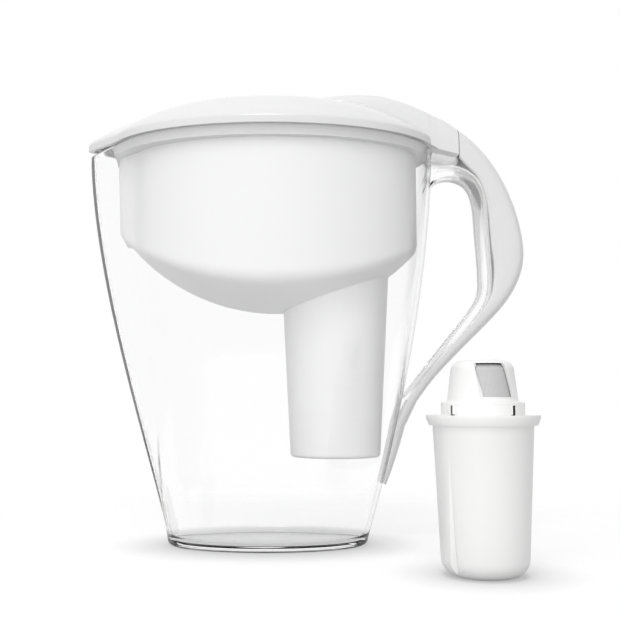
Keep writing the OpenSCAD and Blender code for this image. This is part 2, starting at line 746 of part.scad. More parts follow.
jug();
handle_cover();
funnel();
lid();
tail();  // lid_tail
hatch();
installed() cup();  // cartridge_cup
installed() cap();  // cartridge_cap
installed() cap_screen();  // cartridge_screen
installed() outlet_screen();  // cartridge_outlet_screen
installed() granule_fill();  // granules
spare() cup();  // spare_cup
spare() cap();  // spare_cap
spare() cap_screen();  // spare_screen
spare() outlet_screen();  // spare_outlet_screen
spare() granule_fill();  // spare_granules
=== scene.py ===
# %% [markdown]
# # Dressing a water filter pitcher
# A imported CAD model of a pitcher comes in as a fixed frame: a clear jug, its handle, a white funnel
# with a filter cartridge, a domed lid with a flip hatch, and a spare cartridge. The CAD solids have
# few, flat facets. This lesson lofts fine, smooth skins over the same forms, gives each piece the
# finish of its real plastic, and sets up soft studio light and a camera.

# %% Load the frame
import math

import bmesh
import bpy
import numpy as np
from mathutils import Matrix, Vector


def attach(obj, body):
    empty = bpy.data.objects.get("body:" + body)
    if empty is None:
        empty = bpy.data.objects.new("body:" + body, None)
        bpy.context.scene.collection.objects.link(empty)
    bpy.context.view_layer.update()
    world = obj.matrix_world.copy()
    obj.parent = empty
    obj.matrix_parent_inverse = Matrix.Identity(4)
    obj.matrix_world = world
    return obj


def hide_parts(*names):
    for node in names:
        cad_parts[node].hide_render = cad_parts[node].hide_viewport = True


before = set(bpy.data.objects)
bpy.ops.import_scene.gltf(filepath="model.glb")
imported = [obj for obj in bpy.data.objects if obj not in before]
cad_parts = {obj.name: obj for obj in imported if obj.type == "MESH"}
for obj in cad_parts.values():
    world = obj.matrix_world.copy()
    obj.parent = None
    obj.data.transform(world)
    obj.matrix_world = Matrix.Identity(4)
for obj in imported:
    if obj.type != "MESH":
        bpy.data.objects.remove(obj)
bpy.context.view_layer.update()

# %% [markdown]
# ## The sizes
# All sizes are in millimetres here, and each mesh is scaled to metres as it is made. They are the
# sizes that the CAD part was built from, so a piece lands exactly on its node without any fitting.

# %% Sizes of the jug
MM = 0.001
RIM_H = 220
SPOUT_REACH = 101.3
BACK_REACH = 93.3
RIM_W = 117
FOOT_SPOUT = 54.3
FOOT_BACK = 56
FOOT_W = 67
WALL = 2.4
FLOOR_T = 3
FOOT_EDGE = 3.4
SPOUT_OVERHANG = 13.5
SPOUT_HALF_W = 21
LIP_DIP = 2.5
TIP_ROUND = 1.5
SEAT_GAP = 0.3
FIT_GAP = 0.4
SPOUT_FLARE, BACK_FLARE = (1.15, 1.65), (1, 1.7)   # how early and how fully the wall swings out
SPOUT_EASE = (3, 1.6)
LIP_SPREAD, LIP_FADE = 1.3, 12
print("jug, mm:", RIM_H, "high,", SPOUT_REACH + BACK_REACH, "long,", RIM_W, "wide, wall", WALL)

# %% [markdown]
# ## The form of the jug
# Seen from above the body is an oval that flares upwards, with a spout like the bow of a boat. A
# mesh could be sculpted, but formulas keep the wall even and tie the lid and the funnel to the jug.
# First come the reaches of the spout, the back and the sides at any height.


# %% Reaches at a height
def lerp(a, b, t):
    return a + (b - a) * t


def level(z):
    return min(1, max(0, (z - FOOT_EDGE) / (RIM_H - FOOT_EDGE)))


def flare(z, start, power):
    return 1 - (1 - level(z) ** start) ** power


def spout_x(z):
    return -lerp(FOOT_SPOUT, SPOUT_REACH, flare(z, *SPOUT_FLARE))


def back_x(z):
    return lerp(FOOT_BACK, BACK_REACH, flare(z, *BACK_FLARE))


def half_w(z):
    return lerp(FOOT_W, RIM_W, flare(z, *BACK_FLARE)) / 2


def oval_left(z):
    start, power = SPOUT_EASE
    return spout_x(z) + SPOUT_OVERHANG * (1 - (1 - level(z)) ** start) ** power


print("spout and back half way up, mm:", round(spout_x(RIM_H / 2), 1), round(back_x(RIM_H / 2), 1))

# %% [markdown]
# An outline is made for one side, from the spout's tip to the handle, and then mirrored. It is the
# outer one of two curves at each place: the bow's straight side, and the oval. The crease between
# them is eased over a few points, as no mould leaves a knife edge. "i" moves it inwards evenly, so
# the wall's inside, the lid and the funnel all use the same function.

# %% Outlines
SIDE_N = 16   # points along one side of the spout
OVAL_N = 64   # points along one side of the oval


def half_outline(tip, left, right, b, side):
    """One side of the outline, from the spout's tip to the handle."""
    a, c = (right - left) / 2, (right + left) / 2
    crease = math.asin(side / b)
    reach = math.hypot(side, TIP_ROUND) - TIP_ROUND
    run = (c - a * math.cos(crease) - tip) / reach
    points = []
    for j in range(SIDE_N):
        y = side * j / SIDE_N
        oval = c - a * math.sqrt(1 - (y / b) ** 2)
        bow = tip + (math.hypot(y, TIP_ROUND) - TIP_ROUND) * run
        points.append((min(oval, bow), y))
    for j in range(OVAL_N + 1):
        u = lerp(crease, math.pi, j / OVAL_N)
        points.append((c - a * math.cos(u), b * math.sin(u)))
    return np.array(points)


def mirrored(half):
    other = half[-2:0:-1] * (1, -1)
    return np.vstack([half, other])


SPOUT_POINT = math.hypot(SPOUT_HALF_W, SPOUT_OVERHANG + 6) / SPOUT_HALF_W


def nested(tip, left, right, b, i):
    half = half_outline(tip + i * SPOUT_POINT, left + i, right - i, b - i, SPOUT_HALF_W - i * 0.6)
    near = half[SIDE_N - 3:SIDE_N + 4].copy()   # round the crease where the spout meets the oval
    half[SIDE_N - 2:SIDE_N + 3] += (near[:-2] + near[2:] - 2 * near[1:-1]) * 0.25
    return mirrored(half)


def outline(z, i):
    return nested(spout_x(z), oval_left(z), back_x(z), half_w(z), i)


def at_height(flat, z):
    return np.column_stack([flat, np.full(len(flat), float(z))])


def ring(z, i):
    """The outline at one height, with the pouring lip's dip in it."""
    points = at_height(outline(z, i), z)
    side = np.clip(1 - np.abs(points[:, 1]) / SPOUT_HALF_W, 0, 1) ** LIP_SPREAD
    points[:, 2] -= LIP_DIP * side * (points[:, 0] < 0) * (z / RIM_H) ** LIP_FADE
    return points


print("points in an outline:", len(outline(RIM_H, 0)))

# %% [markdown]
# ## Mesh helpers
# A loft joins rings of points with quads. It can end in two flat caps, or run back to its first
# ring like a tyre. A gutter is a loft of open channels, such as the handle's cover, whose ends are
# closed between the outside and the inside.


# %% Lofts
def piece(name, verts, faces):
    mesh = bpy.data.meshes.new(name)
    mesh.from_pydata([tuple(v) for v in np.asarray(verts) * MM], [], faces)
    bm = bmesh.new()
    bm.from_mesh(mesh)
    bmesh.ops.recalc_face_normals(bm, faces=bm.faces)
    bm.to_mesh(mesh)
    bm.free()
    obj = bpy.data.objects.new(name, mesh)
    bpy.context.scene.collection.objects.link(obj)
    return obj


def loft(name, rings, closed=False):
    n, count = len(rings[0]), len(rings)
    verts = np.vstack(rings)
    faces = []
    for k in range(count if closed else count - 1):
        a, b = k * n, (k + 1) % count * n
        faces += [(a + j, a + (j + 1) % n, b + (j + 1) % n, b + j) for j in range(n)]
    if not closed:
        ends = []
        for k, first in ((0, 0), (count - 1, (count - 1) * n)):
            ends.append((rings[k][0] + rings[k][n // 2]) / 2)
            hub = len(verts) + len(ends) - 1
            faces += [(hub, first + j, first + (j + 1) % n) for j in range(n)]
        verts = np.vstack([verts, ends])
    return piece(name, verts, faces)


def gutter(name, rings):
    """A loft of open channels: each ring is the outside followed by the inside, walked back."""
    n, last = len(rings[0]), len(rings) - 1
    faces = []
    for k in range(last):
        a, b = k * n, (k + 1) * n
        faces += [(a + j, a + (j + 1) % n, b + (j + 1) % n, b + j) for j in range(n)]
    for first in (0, last * n):
        faces += [(first + j, first + n - 1 - j, first + n - 2 - j, first + j + 1)
                  for j in range(n // 2 - 1)]
    return piece(name, np.vstack(rings), faces)


# %% [markdown]
# The sleeve and the cartridges are round, so they are turned from a profile, as on a lathe. Webs,
# ears and arms are flat shapes with a thickness. Rounded corners in all of them come from one
# function that walks along an arc.


# %% Turned, flat and round pieces
def arc_at(x, z, radius, first, turn=90, n=10):
    """Points on an arc round (x, z), from the angle "first", in degrees."""
    angles = [math.radians(first + turn * k / n) for k in range(n + 1)]
    return [(x + radius * math.cos(a), z + radius * math.sin(a)) for a in angles]


def turned(name, profile, centre, segments=128, closed=False):
    """A solid of revolution from (radius, height) pairs, about an upright axis."""
    turns = [math.tau * k / segments for k in range(segments)]
    circle = np.array([(math.cos(a), math.sin(a), 0) for a in turns])
    return loft(name, [np.array(centre) + r * circle + (0, 0, z) for r, z in profile], closed)


def prism(name, flat, y0, y1):
    """A flat shape in the XZ plane, pulled out along Y."""
    n = len(flat)
    verts = [(x, y, z) for y in (y0, y1) for x, z in flat]
    faces = [tuple(range(n)), tuple(range(2 * n - 1, n - 1, -1))]
    faces += [(j, (j + 1) % n, n + (j + 1) % n, n + j) for j in range(n)]
    return piece(name, verts, faces)


def rod(name, centre, radius, length, axis="Y"):
    obj = turned(name, [(radius, -length / 2), (radius, length / 2)], (0, 0, 0), 48)
    turn = {"Y": (math.pi / 2, 0, 0), "Z": (0, 0, 0)}[axis]
    obj.rotation_euler = turn
    obj.location = Vector(centre) * MM
    bpy.context.view_layer.update()
    obj.data.transform(obj.matrix_world)
    obj.rotation_euler, obj.location = (0, 0, 0), (0, 0, 0)
    return obj


# %% [markdown]
# Pieces of one moulding are joined with a boolean, because clear plastic would show every inner
# face. Bevels give edges the small radius of real mouldings. Each modifier is made part of the mesh
# at once, so that the next step works on the finished shape.


# %% Join, soften and smooth
def settle(obj):
    """Makes the modifiers part of the mesh."""
    graph = bpy.context.evaluated_depsgraph_get()
    mesh = bpy.data.meshes.new_from_object(obj.evaluated_get(graph))
    obj.modifiers.clear()
    obj.data = mesh
    return obj


def soften(obj, width, angle=35, segments=3):
    bevel = obj.modifiers.new("soft_edges", "BEVEL")
    bevel.width, bevel.segments = width * MM, segments
    bevel.limit_method, bevel.angle_limit = "ANGLE", math.radians(angle)
    return settle(obj)


def join(obj, tool, operation="UNION"):
    boolean = obj.modifiers.new("join", "BOOLEAN")
    boolean.operation, boolean.solver, boolean.object = operation, "MANIFOLD", tool
    settle(obj)
    bpy.data.objects.remove(tool)
    return obj


def cut(obj, tool):
    return join(obj, tool, "DIFFERENCE")


def smooth(obj, angle=38):
    obj.data.shade_smooth()
    obj.data.set_sharp_from_angle(angle=math.radians(angle))
    return obj


# %% [markdown]
# ## Studio
# The camera stands a little below the middle of the pitcher and looks slightly up, so the foot
# shows as a shallow curve and the lid's underside edge is seen. "Standard" as the view transform
# keeps whites white.

# %% Camera
scene = bpy.context.scene
scene.view_settings.view_transform = "Standard"
camera_data = bpy.data.cameras.new("camera")
camera_data.sensor_width = 36
camera_data.lens = 54.06
camera = bpy.data.objects.new("camera", camera_data)
camera.location = (0.024, -0.523, 0.079)
camera.rotation_euler = (math.radians(90 + 5.52), 0, 0)
scene.collection.objects.link(camera)
scene.camera = camera
print("camera at", [round(v, 3) for v in camera.location], "lens", round(camera_data.lens, 2), "mm")

# %% [markdown]
# Large soft lamps in front, above and behind give white plastic its slow grey shading. They are
# hidden from reflections and from rays through the clear wall, where they would show as glaring
# discs. Only the small edge lamp is mirrored, as the thin line of light along the lid's shoulder.


# %% Lamps
def soft_lamp(name, place, aim, size, watts, mirrored_in_gloss):
    data = bpy.data.lights.new(name, "AREA")
    data.shape, data.size, data.energy = "DISK", size, watts
    lamp = bpy.data.objects.new(name, data)
    lamp.location = place
    lamp.rotation_euler = (Vector(aim) - Vector(place)).to_track_quat("-Z", "Y").to_euler()
    lamp.visible_glossy = lamp.visible_transmission = mirrored_in_gloss
    scene.collection.objects.link(lamp)
    print(name, watts, "W,", size, "m wide")


MIDDLE = (0.01, 0, 0.13)
soft_lamp("key_lamp", (-0.25, -1.2, 0.42), MIDDLE, 1.8, 10.6, False)
soft_lamp("lamp_above", (-0.1, 0.0, 1.5), MIDDLE, 1.4, 5.0, False)
soft_lamp("edge_lamp", (-0.1, -0.85, 1.25), MIDDLE, 0.45, 3.0, True)
soft_lamp("lamp_back", (0.2, 1.3, 0.7), MIDDLE, 1.2, 2.5, False)

# %% [markdown]
# The backdrop is plain white. Camera, glossy and transmitted rays see it as white, while a dimmer
# room lights the plastic, so the background can be pure white and the whites of the pitcher still
# keep their shading. A node for the kind of ray chooses between the two.
#
# Nodes could be linked one by one. Here one helper adds a node and fills its sockets, and a socket
# that is given another node is linked to it, so a shader reads from top to bottom like a recipe.


# %% Node helpers
def put(tree, socket, value):
    """Sets a socket, or links it to an output. A node stands for its first output."""
    if isinstance(value, bpy.types.Node):
        value = value.outputs[0]
    if isinstance(value, bpy.types.NodeSocket):
        tree.links.new(value, socket)
    else:
        socket.default_value = value


def feed(tree, node, *numbered, **named):
    """Fills a node's first sockets in order, and others by name, such as Base_Color."""
    for number, value in enumerate(numbered):
        put(tree, node.inputs[number], value)
    for name, value in named.items():
        put(tree, node.inputs[name.replace("_", " ")], value)


def add(tree, kind, *numbered, **named):
    """Adds a node. Names in small letters are its properties, and all others are its sockets."""
    node = tree.nodes.new(kind)
    for name in [name for name in named if name.islower()]:
        setattr(node, name, named.pop(name))
    feed(tree, node, *numbered, **named)
    return node


def seen_ray(tree):
    """1 for camera, glossy and transmitted rays, which see the white backdrop, and 0 for others."""
    rays = add(tree, "ShaderNodeLightPath").outputs
    seen = add(tree, "ShaderNodeMath", rays["Is Camera Ray"], rays["Is Glossy Ray"],
               operation="MAXIMUM")
    return add(tree, "ShaderNodeMath", seen, rays["Is Transmission Ray"], operation="MAXIMUM")


# %% Backdrop
AMBIENT = 0.42
world = bpy.data.worlds.new("studio")
scene.world = world
world.use_nodes = True
tree = world.node_tree
tree.nodes.clear()
room = add(tree, "ShaderNodeBackground", Color=(1, 1, 1, 1), Strength=AMBIENT)
white = add(tree, "ShaderNodeBackground", Color=(1, 1, 1, 1), Strength=1.0)
choose = add(tree, "ShaderNodeMixShader", seen_ray(tree), room, white)
add(tree, "ShaderNodeOutputWorld", choose)
print("backdrop white, room light", AMBIENT)

# %% [markdown]
# The floor is a round sheet just under the foot. It only belongs to the studio.

# %% Floor sheet
FLOOR_R, FLOOR_N, FLOOR_Z = 700, 96, -0.02
edge_points = [(*point, FLOOR_Z) for point in arc_at(0, 0, FLOOR_R, 0, 360, FLOOR_N)[:-1]]
floor = piece("floor", [*edge_points, (0, 0, FLOOR_Z)],
              [(k, (k + 1) % FLOOR_N, FLOOR_N) for k in range(FLOOR_N)])
print("paper sheet", 2 * FLOOR_R, "mm wide")

# %% [markdown]
# The paper is white and matt. The camera sees it mixed with a plain glow, which lifts it to the
# backdrop's white and leaves the shadows. Such large lamps leave almost no contact shadow, so an
# ambient occlusion node paints a contact shadow on the paper close under an overhanging side. The
# painted shadow is capped, so under the clear foot, which lets light in, it stays lighter. With
# distance the paper fades out, so no edge shows.

# %% Paper
SHADOW_SHOWN = 0.65
CONTACT_SHADE, CONTACT_MOST, CONTACT_REACH = 0.62, 0.36, 0.032
FADE_START, FADE_END = 0.16, 0.34
paper = bpy.data.materials.new("paper_floor")
paper.use_nodes = True
tree = paper.node_tree
tree.nodes.clear()
lit = add(tree, "ShaderNodeBsdfDiffuse", Color=(0.7, 0.7, 0.7, 1))
glow = add(tree, "ShaderNodeEmission", Color=(1, 1, 1, 1), Strength=1.75)
share = add(tree, "ShaderNodeMath", seen_ray(tree), 1 - SHADOW_SHOWN, operation="MULTIPLY")
surface = add(tree, "ShaderNodeMixShader", share, lit, glow)
# painted contact shadow: ambient occlusion mixes a near-black shader into the paper
near_side = add(tree, "ShaderNodeAmbientOcclusion", Distance=CONTACT_REACH, samples=12)
shade = add(tree, "ShaderNodeMath", near_side.outputs["AO"], -CONTACT_SHADE, CONTACT_SHADE,
            operation="MULTIPLY_ADD")
under_foot = add(tree, "ShaderNodeMath", shade, CONTACT_MOST, operation="MINIMUM")
dark = add(tree, "ShaderNodeBsdfDiffuse", Color=(0.05, 0.05, 0.055, 1))
shaded = add(tree, "ShaderNodeMixShader", under_foot, surface, dark)
where = add(tree, "ShaderNodeTexCoord")
far = add(tree, "ShaderNodeVectorMath", where.outputs["Object"], operation="LENGTH")
fade = add(tree, "ShaderNodeMapRange", Value=far.outputs["Value"], From_Min=FADE_START,
           From_Max=FADE_END, interpolation_type="SMOOTHSTEP")
clear = add(tree, "ShaderNodeBsdfTransparent")
ends = add(tree, "ShaderNodeMixShader", fade, shaded, clear)
add(tree, "ShaderNodeOutputMaterial", ends)
floor.data.materials.append(paper)
print("paper fades out from", FADE_START, "to", FADE_END, "m")

# %% [markdown]
# ## Finishes
# Moulded plastic is never one flat value. Its colour drifts a little where the melt flowed, its
# gloss changes in slow patches, and a very fine grain breaks up reflections. One node group makes
# these three effects, and each material sets its own amounts.


# %% The moulded surface group
def color_mix(tree, share, first, second):
    """A colour mix has its colours on sockets 6 and 7, and its result is output 2."""
    mix = add(tree, "ShaderNodeMix", share, data_type="RGBA")
    put(tree, mix.inputs[6], first)
    put(tree, mix.inputs[7], second)
    return mix.outputs[2]


def moulded_group():
    group = bpy.data.node_groups.new("moulded_surface", "ShaderNodeTree")
    for name, kind, value in (
        ("Color", "NodeSocketColor", (0.9, 0.9, 0.9, 1)),
        ("Shade", "NodeSocketColor", (0.8, 0.8, 0.8, 1)),
        ("Drift", "NodeSocketFloat", 0.1),
        ("Gloss", "NodeSocketFloat", 0.2),
        ("Patches", "NodeSocketFloat", 0.05),
        ("Grain Size", "NodeSocketFloat", 900.0),
    ):
        socket = group.interface.new_socket(name=name, in_out="INPUT", socket_type=kind)
        socket.default_value = value
    for name, kind in (("Color", "NodeSocketColor"), ("Roughness", "NodeSocketFloat"),
                       ("Height", "NodeSocketFloat")):
        group.interface.new_socket(name=name, in_out="OUTPUT", socket_type=kind)
    given = add(group, "NodeGroupInput").outputs
    place = add(group, "ShaderNodeTexCoord").outputs["Object"]
    slow = add(group, "ShaderNodeTexNoise", Vector=place, Scale=14.0, Detail=2.0)
    patch = add(group, "ShaderNodeTexNoise", Vector=place, Scale=45.0, Detail=3.0)
    grain = add(group, "ShaderNodeTexNoise", Vector=place, Scale=given["Grain Size"], Detail=2.0)
    amount = add(group, "ShaderNodeMath", slow, given["Drift"], operation="MULTIPLY")
    tint = color_mix(group, amount, given["Color"], given["Shade"])
    centred = add(group, "ShaderNodeMath", patch, 0.5, operation="SUBTRACT")
    spread = add(group, "ShaderNodeMath", centred, given["Patches"], given["Gloss"],
                 operation="MULTIPLY_ADD")
    add(group, "NodeGroupOutput", Color=tint, Roughness=spread, Height=grain)
    return group


MOULDED = moulded_group()
print(MOULDED.name, "has", len(MOULDED.nodes), "nodes")


# %% [markdown]
# White parts are opaque plastic over that group. The lid and the handle cover are polished, the
# funnel and the cartridge are satin. The funnel's collar sits in the lid's shade, which large soft
# lamps hardly give, so that shade is painted in: the collar gets a slightly greyer white. The grain
# reaches the normal through a Bump node.


# %% White plastics
def plastic(name):
    """A new material, its node tree and its Principled BSDF."""
    material = bpy.data.materials.new(name)
    material.use_nodes = True
    return material, material.node_tree, material.node_tree.nodes["Principled BSDF"]


def white_plastic(name, color, shade, drift, gloss, patches, grain_size, grain_depth, coat=0.0):
    material, tree, body = plastic(name)
    skin = add(tree, "ShaderNodeGroup", node_tree=MOULDED, Color=(*color, 1), Shade=(*shade, 1),
               Drift=drift, Gloss=gloss, Patches=patches, Grain_Size=grain_size)
    grain = add(tree, "ShaderNodeBump", Strength=0.25, Distance=grain_depth,
                Height=skin.outputs["Height"])
    feed(tree, body, Base_Color=skin.outputs["Color"], Roughness=skin.outputs["Roughness"],
         Normal=grain, IOR=1.5, Coat_Weight=coat)
    print(name, "base", color, "roughness", gloss)
    return material


lid_white = white_plastic("lid_white", (0.77, 0.77, 0.77), (0.71, 0.715, 0.72), 0.2, 0.16, 0.06,
                          700, 0.00002, coat=0.3)
cover_white = white_plastic("cover_white", (0.77, 0.77, 0.77), (0.71, 0.715, 0.72), 0.2, 0.18, 0.06,
                            700, 0.00002, coat=0.3)
# painted shade: a greyer copy of the satin white for the collar under the lid
collar_painted_shade = white_plastic("collar_painted_shade", (0.74, 0.74, 0.74), (0.69, 0.69, 0.69), 0.2, 0.42, 0.1,
                             1200, 0.00004)
satin_white = white_plastic("satin_white", (0.93, 0.93, 0.93), (0.87, 0.87, 0.87), 0.2, 0.42, 0.1,
                            1200, 0.00004)
filter_white = white_plastic("filter_white", (0.93, 0.93, 0.925), (0.87, 0.87, 0.86), 0.2, 0.36,
                             0.1, 1000, 0.00003)
screen_grey = white_plastic("screen_grey", (0.62, 0.63, 0.64), (0.5, 0.5, 0.5), 0.3, 0.5, 0.1,
                            1600, 0.00004)

# %% [markdown]
# The filter beads are a bed of dark carbon with pale resin beads among it. A Voronoi pattern gives
# each bead its own cell: the cell's random colour picks carbon or resin, and its distance from the
# cell's middle rounds it.

# %% Filter beads
BEADS_PER_M, CARBON_SHARE = 900.0, 0.62
beads, tree, body = plastic("filter_beads")
place = add(tree, "ShaderNodeTexCoord")
cells = add(tree, "ShaderNodeTexVoronoi", Vector=place.outputs["Object"], Scale=BEADS_PER_M)
pick = add(tree, "ShaderNodeValToRGB", Fac=cells.outputs["Color"])
pick.color_ramp.interpolation = "CONSTANT"
pick.color_ramp.elements[0].color = (0.02, 0.02, 0.02, 1)
pick.color_ramp.elements[1].position = CARBON_SHARE
pick.color_ramp.elements[1].color = (0.62, 0.5, 0.3, 1)
rounded = add(tree, "ShaderNodeBump", Strength=0.8, Distance=0.0006, invert=True,
              Height=cells.outputs["Distance"])
feed(tree, body, Base_Color=pick, Normal=rounded, Roughness=0.55)
print(beads.name, "carbon share", CARBON_SHARE)

# %% [markdown]
# The cap's windows are closed by a woven mesh with openings under half a millimetre wide. Two
# sets of waves, one up the tube and one round it, make the threads: where either crest is high
# there is thread, and in between there is a darker opening.

# %% Fine mesh
THREADS_ROUND, THREADS_UP = 150, 2100.0   # round the whole tube, and per metre of its height
THREAD_GREY, OPENING_GREY = (0.68, 0.68, 0.68, 1), (0.4, 0.4, 0.4, 1)


def fine_mesh(centre):
    material, tree, body = plastic("fine_mesh")
    place = add(tree, "ShaderNodeTexCoord")
    from_axis = add(tree, "ShaderNodeVectorMath", place.outputs["Object"],
                    [v * MM for v in centre], operation="SUBTRACT")
    x, y, z = add(tree, "ShaderNodeSeparateXYZ", from_axis).outputs
    angle = add(tree, "ShaderNodeMath", y, x, operation="ARCTAN2")
    waves = []
    for source, turns in ((angle, THREADS_ROUND), (z, THREADS_UP * math.tau)):
        count = add(tree, "ShaderNodeMath", source, turns, operation="MULTIPLY")
        waves.append(add(tree, "ShaderNodeMath", count, operation="SINE"))
    crest = add(tree, "ShaderNodeMath", *waves, operation="MAXIMUM")
    thread = add(tree, "ShaderNodeMapRange", Value=crest, From_Min=-0.2, From_Max=0.5,
                 interpolation_type="SMOOTHSTEP")
    relief = add(tree, "ShaderNodeBump", Strength=0.4, Distance=0.0001, Height=thread)
    feed(tree, body, Base_Color=color_mix(tree, thread, OPENING_GREY, THREAD_GREY),
         Normal=relief, Roughness=0.45)
    return material


print("threads round the tube:", THREADS_ROUND, "and one per", round(1000 / THREADS_UP, 2), "mm")

# %% [markdown]
# Clear plastic is a refracting surface. Where the wall turns away from the eye it is given painted
# edge shade: its colour goes from near white to grey with the facing angle, standing in for the dark
# surroundings that a real clear wall refracts at its edges. The longer path of light in the plastic
# adds only a little of that grey. The index is a little under the plastic's own 1.5, so that the grey
# outline stays thin. Cycles gives clear things solid shadows, so shadow and diffuse rays pass
# straight through a transparent shader instead, as most light does in the real jug.
#
# Where several clear layers lie behind each other, in the handle and at the spout's tip, a path of
# light can end inside them and leave black. There a share of every ray goes straight through.


# %% Clear plastic
WALL_INDEX, PAINTED_EDGE_START = 1.42, 0.64


def clear_finish(name, painted_edge_grey, tone, passed, see_through):
    """How grey the painted edge shade makes grazing walls, the tone seen straight on, and how much
    light passes.
    """
    material, tree, body = plastic(name)
    skin = add(tree, "ShaderNodeGroup", node_tree=MOULDED, Drift=0.4, Gloss=0.02, Patches=0.01,
               Grain_Size=120, Color=(tone, tone, min(1, tone + 0.01), 1),
               Shade=(tone - 0.02, tone - 0.015, tone - 0.015, 1))
    # painted edge shade: the facing angle greys the walls that turn away from the eye
    facing = add(tree, "ShaderNodeLayerWeight", Blend=0.5)
    edge = add(tree, "ShaderNodeMapRange", Value=facing.outputs["Facing"], From_Min=PAINTED_EDGE_START,
               From_Max=1.0, interpolation_type="SMOOTHSTEP")
    tint = color_mix(tree, edge, skin.outputs["Color"], (painted_edge_grey, painted_edge_grey, painted_edge_grey + 0.01, 1))
    feed(tree, body, Base_Color=tint, Roughness=skin.outputs["Roughness"], IOR=WALL_INDEX,
         Transmission_Weight=1.0)
    rays = add(tree, "ShaderNodeLightPath").outputs
    passing = add(tree, "ShaderNodeMath", rays["Is Shadow Ray"], rays["Is Diffuse Ray"],
                  operation="MAXIMUM")
    least = add(tree, "ShaderNodeMath", passing, see_through, operation="MAXIMUM")
    through = add(tree, "ShaderNodeBsdfTransparent", Color=(passed, passed, passed, 1))
    mixed = add(tree, "ShaderNodeMixShader", least, body, through)
    feed(tree, tree.nodes["Material Output"], Surface=mixed)
    print(name, "edge", painted_edge_grey, "straight through", see_through)
    return material


clear_plastic = clear_finish("clear_plastic", 0.4, 1, 0.985, 0)
clear_handle = clear_finish("clear_handle", 0.85, 1, 0.985, 0.45)
clear_foot = clear_finish("clear_foot", 0.42, 0.99, 0.8, 0)
clear_tip = clear_finish("clear_tip", 0.46, 1, 0.985, 0.16)


# %% [markdown]
# Each finished piece gets its material, rides on a body of the frame, and says which CAD nodes it
# stands for. A piece can take a second finish on the faces that pass a test of place.


# %% Finishing a piece
def finish_piece(obj, body, slot, material, *nodes):
    """Gives a piece its material and says which body it rides on and which nodes it stands for."""
    obj.data.materials.clear()
    obj.data.materials.append(material)
    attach(obj, body)
    if nodes:
        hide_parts(*nodes)
    size = [round(float(v) / MM, 1) for v in obj.dimensions]
    print(obj.name, "on", body, "mm:", size, "faces:", len(obj.data.polygons))
    return obj


def second_finish(obj, material, where):
    """Gives the faces whose middle passes the test "where" one more material."""
    obj.data.materials.append(material)
    for face in obj.data.polygons:
        if where(face.center / MM):
            face.material_index = len(obj.data.materials) - 1


# %% [markdown]
# ## Jug
# The jug is one moulding: a thin wall with a rounded foot and rim, and the inner part of the
# handle. Its skin runs up the outside, over the rim and down the inside to the floor. The rings
# stand closer where the form turns fast.

# %% Jug body
ARC_N, EDGE_R, CORNER_R, WALL_N = 8, 0.8, 4.5, 70
heights = [lerp(FOOT_EDGE, RIM_H - EDGE_R, k / WALL_N) for k in range(1, WALL_N)]
skin = arc_at(FOOT_EDGE, FOOT_EDGE, FOOT_EDGE, 180, n=ARC_N)   # pairs: height, and how far inwards
skin += [(z, 0) for z in heights]
skin += arc_at(RIM_H - EDGE_R, EDGE_R, EDGE_R, -90, n=ARC_N // 2)
skin += arc_at(RIM_H - EDGE_R, WALL - EDGE_R, EDGE_R, 0, n=ARC_N // 2)
skin += [(z, WALL) for z in reversed(heights) if z > FLOOR_T + CORNER_R + 1]
skin += arc_at(FLOOR_T + CORNER_R, WALL + CORNER_R, CORNER_R, -90, -90, ARC_N)
jug = loft("jug_clear", [ring(z, i) for z, i in skin])
print("jug's skin has", len(skin), "rings")

# %% [markdown]
# ### Handle
# Side views of handles are curves, not arcs, so its lines are splines through a few points. Each
# point says how far it stands out from the jug's wall and how far it lies below the rim. The inner
# line is the clear bar that the fingers touch. The outer line and the edge line are the white
# cover's.

# %% Handle lines
HOLE = [(-1.2, 22.2), (2.6, 18), (8.6, 16), (15.2, 17), (21, 21.5), (24.7, 31), (27.4, 48),
        (31.3, 70), (32.1, 82.5), (27.1, 93.5), (18.4, 107), (8.6, 123.1), (3.1, 132.7),
        (-0.7, 139.5)]
LID_TAIL = 13.6
COVER_START = LID_TAIL + FIT_GAP
BACK = [(COVER_START, -12.4), (22.5, -5.6), (31.1, 4), (38.9, 15.6), (45.9, 29.6), (51.2, 44),
        (54.5, 57.6), (54.8, 68), (52.3, 78.4), (47.2, 88.4), (39.2, 99), (26.6, 114.1),
        (15.5, 128.8), (8.4, 141.5)]
EDGE = [(COVER_START, 4.8), (18.6, 9.4), (25.3, 15), (32.1, 23), (38.9, 33.4), (44.2, 45),
        (47.8, 57.6), (47.8, 67), (45.3, 76.8), (40.5, 86), (32.7, 96.4), (20.5, 112),
        (10, 127.4), (3.2, 140.6)]
CHEEK = [1.4, 1.4, 2.2, 4.6, 8, 10.6, 11.8, 9.8, 6.4, 2.6, 0.4, 0.2, 0.2, 0.2]
TAIL = [(154, 4.2), (168, 3.4), (179, 2.4), (187, 1.4)]
BAR_T, BAR_LOW_T, BAR_W, BAR_LOW_W = 7.6, 4, 18, 12
WEB_T, COVER_T = 4, 2.4


def from_wall(points):
    return np.array([(back_x(RIM_H - down) + out, RIM_H - down) for out, down in points])


def spline(points, t):
    """A smooth curve through the points: whole numbers of t give the points themselves."""
    n = len(points) - 1
    i = max(0, min(math.floor(t), n - 1))
    f = t - i
    a, b, c, d = (points[k] for k in (max(i - 1, 0), i, i + 1, min(i + 2, n)))
    return (2 * b + (c - a) * f + (2 * a - 5 * b + 4 * c - d) * f * f
            + (3 * b - a - 3 * c + d) * f ** 3) / 2


def unit(v):
    return v / np.linalg.norm(v)


def slope(points, t):
    return unit(spline(points, t + 0.05) - spline(points, t - 0.05))


